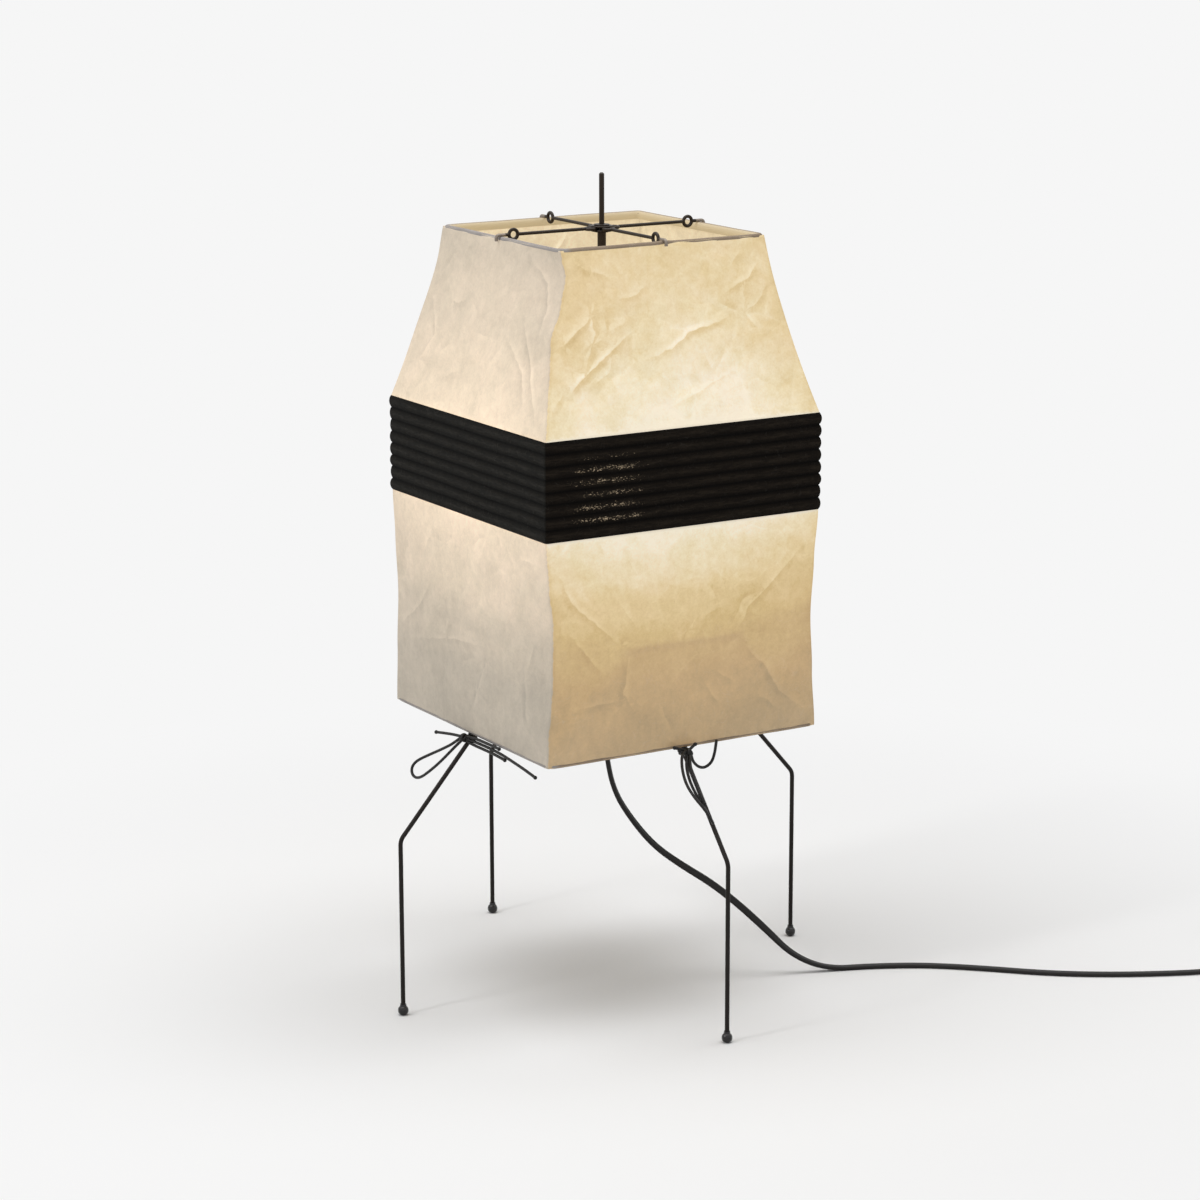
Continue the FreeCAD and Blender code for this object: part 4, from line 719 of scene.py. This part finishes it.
LOWER_CREASES = {
    "front": [
        (0.7, 3, [(-116, 374), (-103, 340), (-81, 322), (-58, 301)]),
        (0.6, 2.6, [(-109, 321), (-92, 301), (-75, 283)]),
        (0.5, 2.6, [(-104, 259), (-81, 261), (-52, 262)]),
        (0.7, 2.6, [(-53, 298), (-58, 268), (-46, 251)]),
        (0.6, 2.4, [(46, 301), (58, 320), (86, 343), (113, 366)]),
        (0.6, 2.4, [(49, 295), (71, 274), (87, 250), (115, 228)]),
        (-0.5, 2.2, [(40, 306), (52, 326), (70, 334)]),
        (-0.5, 2.2, [(-66, 302), (-58, 308), (-48, 306)]),
    ],
    "left": [
        (0.5, 3, [(-95, 274), (-18, 288), (34, 292)]),
        (0.5, 3, [(34, 292), (13, 252), (2, 234)]),
        (0.6, 2.4, [(85, 299), (89, 254), (92, 244)]),
        (0.5, 3, [(-117, 278), (-83, 301), (-55, 328)]),
    ],
}


def with_chance_creases(creases, low, high, seed):
    """Adds chance creases: long to the sides that the table leaves empty, short and faint to the others."""
    chance = random.Random(seed)
    for side in SIDES:
        listed = creases.setdefault(side, [])
        faint = 0.5 if listed else 1
        for _ in range(CHANCE_CREASES):
            along, level = chance.uniform(-100, 95), chance.uniform(low + 12, high - 12)
            heading = chance.choice((0.6, 2.5, 1, 2.1)) + chance.uniform(-0.4, 0.4)
            spots = [(along, level)]
            for _ in range(3):
                heading += chance.uniform(-0.35, 0.35)
                step = chance.uniform(10, 24) * faint
                along, level = along + step * math.cos(heading), level + step * math.sin(heading)
                spots.append((along, min(high - 4, max(low + 4, level))))
            listed.append((chance.choice((-1, 1)) * chance.uniform(0.5, 1) * faint, 3, spots))


with_chance_creases(UPPER_CREASES, BAND_TOP, TOP, 11)
with_chance_creases(LOWER_CREASES, BOTTOM, BAND_BOTTOM, 23)


def crease_at(creases, along, level):
    """The lift of all the creases at a spot, and the gap to the nearest, signed by side, with its strength."""
    lift, closest, press = 0, CREASE_REACH, 0
    along += noise.noise(Vector((along / 6, level / 6, 1.5))) * 1.3
    level += noise.noise(Vector((along / 6, level / 6, 7.5))) * 1.3
    for high, wide, spots in creases:
        nearest, aside, part = CREASE_REACH, 0, 0.5
        count = len(spots) - 1
        for k, ((x0, y0), (x1, y1)) in enumerate(zip(spots, spots[1:])):
            if not (min(x0, x1) - CREASE_REACH < along < max(x0, x1) + CREASE_REACH
                    and min(y0, y1) - CREASE_REACH < level < max(y0, y1) + CREASE_REACH):
                continue
            dx, dy = x1 - x0, y1 - y0
            share = min(1, max(0, ((along - x0) * dx + (level - y0) * dy) / (dx * dx + dy * dy)))
            gap_x, gap_y = along - x0 - share * dx, level - y0 - share * dy
            gap = math.hypot(gap_x, gap_y)
            if gap < nearest:
                nearest, part = gap, (k + share) / count
                aside = 1 if dx * gap_y - dy * gap_x > 0 else -1
        if nearest < CREASE_REACH:
            along_it = math.sin(math.pi * min(1, max(0, part)))
            lift += high * 0.6 * along_it * math.exp(-nearest / wide)
            if nearest < abs(closest):
                closest, press = aside * nearest, high * along_it
    return lift, closest, press * ease(8 - abs(closest), 0, 5)


def crumple(place, seed):
    """Broad sags, flat facets that meet in soft creases, and fine wrinkles, in millimetres."""
    shifted = place + Vector((seed * 37, seed * 11, 0))
    sag = noise.fractal(shifted / 85, 1, 2, 2) * 1.1
    cells = noise.voronoi(shifted / 46)[0]
    facet = min(cells[1] - cells[0], 0.3) * 2.6
    wrinkle = noise.ridged_multi_fractal(shifted / 24, 0.9, 2.1, 3, 1, 2) * 0.2
    return sag + facet + wrinkle


def fold_round(u, columns, half):
    """How far along its side a column of the grid is, and how far in, as the ends bend round the corners."""
    straight = 1 - 2 * BENDS / columns
    if abs(u) <= straight + 1e-6:
        return u / straight * (half - FOLD_RADIUS), 0
    turn = (abs(u) - straight) / (1 - straight) * math.pi / 4
    along = math.copysign(half - FOLD_RADIUS + FOLD_RADIUS * math.sin(turn), u)
    return along, FOLD_RADIUS * (1 - math.cos(turn))


def paper_side(bm, side, rows, low, high, half_at, crest_at, stray, creases, layers, seed, dim_at):
    """One side of a sleeve of paper: a grid bent into its place, with its folds, creases and glow."""
    facing = math.radians(SIDES[side])
    outward = Vector((math.cos(facing), math.sin(facing)))
    sideways = Vector((-outward.y, outward.x))
    glow, day, gap, press, edge = layers
    day_share, lamp_share = SIDE_LIGHT[side]
    for vert in bmesh.ops.create_grid(bm, x_segments=COLUMNS[side], y_segments=rows, size=1)["verts"]:
        level = low + (high - low) * (vert.co.y + 1) / 2
        half = half_at(level)
        along, inset = fold_round(vert.co.x, COLUMNS[side], half)
        crest, rise = crest_at(side, level)
        reach = half - FOLD_RADIUS * (1 - math.sqrt(0.5))
        offset = Vector(between(stray[ENDS[side][1 if along > 0 else 0]], level))
        toward_end = min(1, max(0, (abs(along) - crest) / (reach - crest)))
        out = half - inset + rise * (1 - toward_end) + offset.dot(outward) * toward_end
        flat = outward * out + sideways * (along + offset.dot(sideways) * min(1, abs(along) / reach))
        place = Vector((flat.x, flat.y, level))
        held = (min(ease(level, low, low + WIRE_HOLD), ease(high - level, 0, WIRE_HOLD))
                * ease(reach - abs(along), 0, CORNER_HOLD))
        lift, closest, strength = crease_at(creases[side], along, level)
        push = held * (crumple(place, seed) - 0.6) + lift * min(1, held * 1.4)
        vert.co = (place + Vector((outward.x, outward.y, 0)) * push) * MM
        centred = along + GLOW_SHIFT if side == "front" and low == BOTTOM else along
        across = 1 - END_LOSS * (centred / half) ** 2
        lamp = between(GLOW_LAMP, level)[0] * lamp_share * across * dim_at(side, along, level)
        by_day = between(GLOW_DAY, level)[0] * across
        rim = 1 + RIM_GAIN * math.exp(-min(abs(level - BAND_TOP), abs(level - BAND_BOTTOM)) / RIM_REACH)
        vert[glow] = (lamp + (by_day - lamp) * day_share) * rim
        vert[day] = day_share
        vert[gap], vert[press] = closest, strength * held
        # A painted shade line along each corner's fold, which the paper finish darkens.
        vert[edge] = math.exp(-((abs(along) - half + FOLD_RADIUS * 0.3) / 1.3) ** 2)


def paper_sleeve(name, rows, low, high, half_at, crest_at, stray, creases, seed, stands_for, dim_at):
    """The four sides joined, with the lit paper outside and its pale back inside, painted with a glow that is
    brighter towards the top.
    """
    bm = bmesh.new()
    layers = float_layers(bm, "glow", "day", "gap", "press", "edge")
    for side in SIDES:
        paper_side(bm, side, rows, low, high, half_at, crest_at, stray, creases, layers, seed, dim_at)
    weld(bm, WELD)
    skin = shown(name, bm, "shade", [PAPER, PAPER_INSIDE], stands_for)
    thickness(skin, PAPER_WALL, inner_finish=1)
    return skin


def upper_half(level):
    """The taper's half width, a little hollow half way up."""
    share = (level - BAND_TOP) / (TOP - BAND_TOP)
    return BAND_HALF + (TOP_HALF - BAND_HALF) * share - 2.4 * (1 - (2 * share - 1) ** 2)


def upper_crest(side, level):
    """Half the width of the flat part, and no ridge."""
    return 30, 0


def lower_half(level):
    return BOTTOM_HALF + (BAND_HALF - BOTTOM_HALF) * (level - BOTTOM) / (BAND_BOTTOM - BOTTOM)


RIDGE_LEVEL = {"front": 300, "left": 304, "right": 309, "back": 306}


def lower_crest(side, level):
    """Half the width of the flat part between the hips, and how far the ridge stands out."""
    ridge = RIDGE_LEVEL[side]
    share = (level - ridge) / (BAND_BOTTOM - ridge) if level > ridge else (ridge - level) / (ridge - BOTTOM)
    half = lower_half(level)
    return min(half - 4, 52 + (half - 52) * share), 1.3 * (1 - share)


def lower_dim(side, along, level):
    """The lamp holder's painted shade on the paper, below the ridge and between the hips, and a painted shadow
    line just under the ridge.
    """
    ridge = RIDGE_LEVEL[side]
    if side == "left" or level > ridge + 3:
        return 1
    crest = lower_crest(side, level)[0]
    inside = ease(crest - abs(along + 2), -6, 3) if along > 0 else ease(crest - abs(along), -16, 6)
    # A painted shadow line just under the ridge.
    under = 0.14 * math.exp(-((ridge - 1.5 - level) / 2.6) ** 2)
    return 1 - inside * (0.3 * ease(ridge + 1.5 - level, -1.5, 1.5) + under)


def upper_dim(side, along, level):
    """A little less light in the corner furthest from the bulb, and a little more above it."""
    if side != "front":
        return 1
    corner, above = ease(along, 50, 110) * ease(510 - level, 0, 40), ease(along, 20, 80) * ease(level, 530, 590)
    return 1 - 0.1 * corner + 0.16 * above


upper = paper_sleeve("shade_upper", 74, BAND_TOP, TOP, upper_half, upper_crest, UPPER_STRAY, UPPER_CREASES, 1,
                     ["paper_upper"], upper_dim)
lower = paper_sleeve("shade_lower", 88, BOTTOM, BAND_BOTTOM, lower_half, lower_crest, LOWER_STRAY,
                     LOWER_CREASES, 2, ["paper_lower"], lower_dim)


# The black band

PLEATS, PLEAT_ROWS, PLEAT_BULGE, BAND_COLUMNS = 8, 8, 1.5, 120


def make_band():
    """Paper pressed over ribs: eight soft pleats, each a little uneven, with pressed wrinkles."""
    bm = bmesh.new()
    glow, day, fold = float_layers(bm, "glow", "day", "fold")
    rows = PLEATS * PLEAT_ROWS
    for side, facing in SIDES.items():
        outward, sideways = turned((1, 0, 0), facing), turned((0, 1, 0), facing)
        for vert in bmesh.ops.create_grid(bm, x_segments=BAND_COLUMNS, y_segments=rows, size=1)["verts"]:
            share = (vert.co.y + 1) / 2
            along, inset = fold_round(vert.co.x, BAND_COLUMNS, BAND_HALF)
            phase = share * PLEATS
            arch = abs(math.sin(math.pi * phase)) ** 0.7
            level = BAND_BOTTOM + (BAND_TOP - BAND_BOTTOM) * share
            place = outward * (BAND_HALF - inset) + sideways * along + Vector((0, 0, level))
            uneven = noise.noise(Vector((place.x / 26, place.y / 26, round(phase - 0.5) * 7.3)))
            pressed = noise.noise(Vector((place.x / 4.5, place.y / 4.5, level / 30))) * 0.22
            bulge = PLEAT_BULGE * arch * (0.86 + 0.3 * uneven) + pressed * arch
            wave = noise.noise(Vector((place.x / 60, place.y / 60, phase * 0.8))) * 0.5
            edge = ease(share, 0, 0.03) * ease(1 - share, 0, 0.03)
            at_corner = ease(BAND_HALF - abs(along), 0, 3)
            place += outward * bulge + sideways * math.copysign(bulge * (1 - at_corner), along)
            place.z += wave * edge
            vert.co = place * MM
            vert[day] = SIDE_LIGHT[side][0]
            vert[fold] = arch
            near = ease(along, -112, -88) * ease(-20 - along, 0, 32)
            near *= ease(level, 392, 402) * ease(456 - level, 0, 12)
            vert[glow] = near if side == "front" else 0.12 * near
    weld(bm, WELD)
    band = shown("shade_band", bm, "shade", BAND, ["paper_band"])
    thickness(band, BAND_WALL)


make_band()


# Hems: paper turned over the top and bottom wires

def make_hem(name, half, level, radius, lip, inner_lip, wander, way):
    """A strip turned over a wire, or under it where the way is -1, and run round the square. The lips
    are how far it comes past the wire's middle on each side, and it wanders up and down by chance."""
    bm = bmesh.new()
    day, within = float_layers(bm, "day", "within")
    corner, steps = 3.8, 40
    profile = [(radius, -lip, 0)]
    for step in range(9):
        angle = math.radians(-10 + 25 * step)
        profile.append((radius * math.cos(angle), radius * math.sin(angle), ease(step, 4.5, 6.5)))
    profile.append((-radius, -inner_lip, 1))
    start = []
    for out, up, inner in profile:
        start.append(bm.verts.new(Vector((half + out, -(half - corner), level + way * up)) * MM))
        start[-1][within] = inner
    edges = [bm.edges.new(pair) for pair in zip(start, start[1:])]
    for quarter in range(4):
        heading = turned((0, 1, 0), 90 * quarter)
        for _ in range(steps):
            made = bmesh.ops.extrude_edge_only(bm, edges=edges)["geom"]
            verts = [v for v in made if isinstance(v, bmesh.types.BMVert)]
            edges = [e for e in made if isinstance(e, bmesh.types.BMEdge)]
            bmesh.ops.translate(bm, verts=verts, vec=heading * (2 * (half - corner) / steps) * MM)
        pivot = turned((half - corner, half - corner, level), 90 * quarter) * MM
        spun = bmesh.ops.spin(bm, geom=edges, cent=pivot, axis=(0, 0, 1), angle=QUARTER, steps=5,
                              use_merge=False)["geom_last"]
        edges = [e for e in spun if isinstance(e, bmesh.types.BMEdge)]
    weld(bm, 0.05)
    for vert in bm.verts:
        spot = vert.co / MM
        # The side that the window lights, which the hem finish paints greyer.
        vert[day] = ease(-spot.x, half - 8, half - 4)
        flat = Vector((spot.x, spot.y, 0))
        spot += flat.normalized() * noise.noise(spot / 23) * 0.25
        spot.z += noise.noise(spot / 37) * wander
        nub = 0.5 * math.exp(-((spot.x + half) ** 2 + (spot.y + half) ** 2) / 9)
        kink = 0.7 * math.exp(-(spot.x ** 2) / 14) * ease(-spot.y, half - 4, half) if way > 0 else 0
        vert.co = (spot + Vector((-nub, -nub, nub + kink))) * MM
    thickness(shown(name, bm, "shade", HEM), HEM_WALL)


make_hem("hem_top", half=87.72, level=596.8, radius=2, lip=0.5, inner_lip=4.5, wander=0.35, way=1)
make_hem("hem_bottom", half=117.92, level=219.5, radius=2.2, lip=0.2, inner_lip=1, wander=0.2, way=-1)


# Ties: waxed cord knotted at each leg

TIE_RADIUS = 1.15
KNOT_OUT, KNOT_LEVEL, KNOT_RADIUS = 124.99, 214.9, 3.5
WRAP_OUT, WRAP_LEVEL, LEG_LEAN, WRAP_RADIUS = 117.75, 214.3, 41.04, 3

# The strands from each knot: points as out, along and up from it, the strand's length in metres, and 0
# for a short stub that isn't a cord of its own, and what the far end is
TIE_STRANDS = {
    "left": {
        "bar": ([(0, 0, 0.8), (-2.2, 9, 2), (-3, 30, 2.3), (-3, 50, 2.3)], 0.05, "bare"),
        "bar_under": ([(0, 0, -1.4), (-1.8, 9, -3.5), (-2.6, 28, -3.5), (-2.8, 46, -3.6), (-2.8, 59, -4.3)],
                      0.059, "bare"),
        "bar_tail": ([
            (0, 0, -0.2), (-2.2, 9, -0.8), (-3, 30, -0.6), (-3, 48, -0.8), (-2.8, 62, -1.6),
            (-2.4, 77, -2.8), (-2.2, 92, -4.2), (-1.6, 107, -5.9),
        ], 0.1075, "bare"),
        "left_tail": ([(0, 0, 0.4), (2.4, -9, 0.4), (4.8, -20, -0.6), (6.8, -32, -2.2)], 0.033, "bare"),
        "teardrop": ([
            (0.4, -1.2, 1), (3.4, -9, -6), (7, -22, -13.4), (10.3, -36.2, -20.7), (13.2, -46.4, -26.2),
            (15.6, -52, -30.4), (17.4, -54, -35.2), (18.4, -51.2, -39.4), (18.2, -45.4, -41),
            (17, -38.4, -38.6), (15.4, -30, -32.8), (13, -22, -26.2), (10, -15.6, -19.6),
            (6.8, -9.6, -12.6), (3.2, -4.4, -6), (0.4, -1.2, -1.8),
        ], 0.141, "knot"),
    },
    "front": {
        "hanging_loop": ([
            (0.6, -2, 1.2), (3.4, -7, 1.4), (8.6, -11.4, -3.2), (14.6, -14, -10.8), (21.6, -15, -18.6),
            (30.4, -13.4, -26.4), (38.6, -9.8, -33.7), (43, -8.4, -38.9), (43.2, -5.7, -43.4),
            (39.9, -2.8, -45.8), (35.2, -1.4, -44.4), (30.9, -2.1, -40), (24.6, -6, -30.2),
            (18.6, -7.5, -22.8), (13.8, -8.1, -15.9), (8.2, -6.8, -9), (3.4, -3.4, -3.6), (0.6, 0.2, -1.2),
        ], 0.137, "knot"),
        "hanging_tail": ([
            (0.6, 0.4, -0.6), (5.4, -1.9, -3), (9.9, -4.2, -8.6), (15.4, -4.9, -16), (22.4, -4.4, -25),
            (28.6, -3.4, -32.9),
        ], 0.0445, "bare"),
        "side_loop": ([
            (0, 1, 0.6), (-1.4, 3.6, -2.6), (-3.4, 6.6, -9.4), (-5.3, 13, -15.2), (-5.8, 19.4, -16.6),
            (-4.6, 24.6, -12.6), (-2.7, 25.8, -5.2), (-0.8, 25.6, 1.6), (0.2, 25.4, 5.6),
        ], 0.052, "object"),
        "corner_strand": ([(0, 0, 0.6), (-0.6, -5, 2.6), (0, -12.2, 5)], 0, "bare"),
        "hook_strand": ([(0, 0, 0.6), (-0.4, 2.6, 2.6), (0, 6.4, 5.2)], 0, "bare"),
    },
}
SHORT_LOOP = [(0.6, 1, 1.3), (2.2, 8, -0.5), (4.2, 16.5, -6), (5.4, 21.5, -14), (5.6, 19.6, -21.5),
              (4.2, 12.6, -22.6), (2.6, 6.6, -16), (1.2, 2.8, -8), (0, 1.2, -1.5)]
SHORT_TAIL = [(0, 0, 0), (2, 2.4, -6), (2.6, 5.6, -13), (2.2, 7.6, -21)]
for side in ("back", "right"):
    TIE_STRANDS[side] = {}
    for hand, sign in (("one", 1), ("two", -1)):
        TIE_STRANDS[side]["loop_" + hand] = ([(o, a * sign, u) for o, a, u in SHORT_LOOP], 0.065, "knot")
        TIE_STRANDS[side]["tail_" + hand] = ([(o, a * sign, u) for o, a, u in SHORT_TAIL], 0, "bare")


def at_knot(side, out, along, up):
    return turned((KNOT_OUT + out, along, KNOT_LEVEL + up), SIDES[side]) * MM


def ring(bm, centre, axis, wide, thin):
    """A closed ring of round cord about an axis, spun from a small circle. The radii are millimetres."""
    turn = Vector((0, 0, 1)).rotation_difference(axis).to_matrix().to_4x4()
    place = Matrix.Translation(centre) @ turn
    start = bmesh.ops.create_circle(
        bm, segments=12, radius=thin * MM,
        matrix=place @ Matrix.Translation((wide * MM, 0, 0)) @ Matrix.Rotation(QUARTER, 4, "X"))["verts"]
    edges = list({e for v in start for e in v.link_edges})
    bmesh.ops.spin(bm, geom=start + edges, cent=centre, axis=axis, angle=2 * math.pi, steps=28, use_merge=True)


def make_knot(side):
    """Three upright turns of the cord pulled tight over one another, and one round them."""
    bm = bmesh.new()
    chance = random.Random(SIDES[side] + 5)
    centre, up = at_knot(side, 0, 0, 0), Vector((0, 0, 1))
    outward, sideways = turned((1, 0, 0), SIDES[side]), turned((0, 1, 0), SIDES[side])
    for lean, shift in ((-0.45, -1.4), (0.1, 0.1), (0.5, 1.5)):
        axis = (sideways + up * (lean + chance.uniform(-0.1, 0.1))).normalized()
        ring(bm, centre + sideways * shift * MM, axis, KNOT_RADIUS - TIE_RADIUS, TIE_RADIUS)
    ring(bm, centre, (outward * 0.6 + up).normalized(), KNOT_RADIUS - 1, TIE_RADIUS)
    return shown("tie_knot_" + side, bm, "shade", WAXED, ["tie_bow_" + side])


def make_wraps(side):
    """Two turns of cord round the leg."""
    bm = bmesh.new()
    lean = math.radians(LEG_LEAN)
    axis = turned((-math.sin(lean), 0, math.cos(lean)), SIDES[side])
    for shift, tilt in ((-TIE_RADIUS, 0.06), (TIE_RADIUS, -0.05)):
        centre = turned((WRAP_OUT, 0, WRAP_LEVEL), SIDES[side]) * MM + axis * shift * MM
        tipped = (axis + turned((0, tilt, 0), SIDES[side])).normalized()
        ring(bm, centre, tipped, WRAP_RADIUS, TIE_RADIUS)
    shown("tie_turns_" + side, bm, "stand", WAXED, ["tie_wrap_" + side])


def with_bead(mesh, place):
    """Adds the drop of wax that seals a strand's end."""
    bm = bmesh.new()
    bm.from_mesh(mesh)
    bmesh.ops.create_uvsphere(bm, u_segments=14, v_segments=9, radius=1.32 * TIE_RADIUS * MM,
                              matrix=Matrix.Translation(place))
    for face in bm.faces:
        face.smooth = True
    bm.to_mesh(mesh)
    bm.free()


for side, strands in TIE_STRANDS.items():
    knot = make_knot(side)
    make_wraps(side)
    for label, (spots, length, far_end) in strands.items():
        name = "tie_%s_%s" % (side, label)
        points = [at_knot(side, *spot) for spot in spots]
        mesh, line = tube_along(name, points, radius=TIE_RADIUS * MM)
        if far_end == "bare":
            with_bead(mesh, points[-1])
        strand = shown(name, mesh, "shade", WAXED)


# The spider's hub

def make_spider_hub():
    """Washers on the pin, with four wire eyes between them."""
    bm = bmesh.new()
    level, pin_hole = 599.5, 2.25
    for facing in SIDES.values():
        ring(bm, turned((10.2, 0, level), facing) * MM, Vector((0, 0, 1)), 3.9, 1.35)
    for low, high, wide in ((1, 2, 8.6), (2, 3, 6), (-2.4, -1, 8.2)):
        for radius in (wide, pin_hole):
            bmesh.ops.create_circle(bm, segments=40, radius=radius * MM,
                                    matrix=Matrix.Translation((0, 0, (level + low) * MM)))
        face = bmesh.ops.bridge_loops(bm, edges=[e for e in bm.edges if e.is_wire])["faces"]
        raised = bmesh.ops.extrude_face_region(bm, geom=face)["geom"]
        tops = [v for v in raised if isinstance(v, bmesh.types.BMVert)]
        bmesh.ops.translate(bm, verts=tops, vec=(0, 0, (high - low) * MM))
    shown("spider_rings", bm, "spider", FINISHES["dark_metal"], ["spider_hub"])


make_spider_hub()


# The floor, the world and the lights

# The wall's white, where on the floor the shadow is centred, and how the lights are aimed and rolled
WHITE, SHADOW_CENTRE = (0.9216, 0.9216, 0.9216), (0.05, 0, 0)
LAMP_AIM, LAMP_TURN = Vector((0, 0, 0.3)), math.radians(-20)


def make_floor():
    """Painted round the lamp, where its shadow falls, and the wall's own white further out."""
    bm = bmesh.new()
    bmesh.ops.create_grid(bm, x_segments=1, y_segments=1, size=30)
    finish, place = started("floor")
    tree = place.tree
    tree.nodes.remove(tree.nodes["Principled BSDF"])
    away = vector_maths("LENGTH", vector_maths("SUBTRACT", place, {1: SHADOW_CENTRE}), {})["Value"]
    fade = add(tree, "MapRange", {0: away, 1: 0.28, 2: 0.85}, interpolation_type="SMOOTHSTEP")
    paint = add(tree, "BsdfDiffuse", {"Color": (0.92, 0.92, 0.92, 1)})
    plain = add(tree, "Emission", {"Color": (*WHITE, 1), "Strength": 1})
    put(tree.nodes["Material Output"], {"Surface": add(tree, "MixShader", {0: fade, 1: paint, 2: plain})})
    floor = bpy.data.objects.new("floor", mesh_of(bm, "floor"))
    floor.data.materials.append(finish)
    SCENE.collection.objects.link(floor)


def make_world():
    """The wall's white where it is seen or mirrored, and a dimmer grey as a light."""
    world = bpy.data.worlds.new("studio")
    SCENE.world = world
    world.use_nodes = True
    path = add(world.node_tree, "LightPath")
    seen = path["Is Glossy Ray"].maths("MAXIMUM", path["Is Transmission Ray"])
    seen = path["Is Camera Ray"].maths("MAXIMUM", seen)
    level = blended(seen, (0.3, 0.3, 0.3), WHITE)
    put(world.node_tree.nodes["Background"], {"Color": level, "Strength": 1})


def make_lamp(name, place, size, power):
    """A soft oval light at a place, in metres."""
    light = bpy.data.lights.new(name, "AREA")
    light.shape = "ELLIPSE"
    light.size, light.size_y = size
    light.energy = power
    placed(name, light, place, LAMP_AIM - Vector(place), LAMP_TURN)


make_floor()
make_world()
make_lamp("overhead", place=(0, 0, 3), size=(4.6, 2), power=72)
make_lamp("window", place=(-2.6, -0.2, 2), size=(0.35, 0.35), power=14)

SCENE.view_settings.view_transform = "Standard"
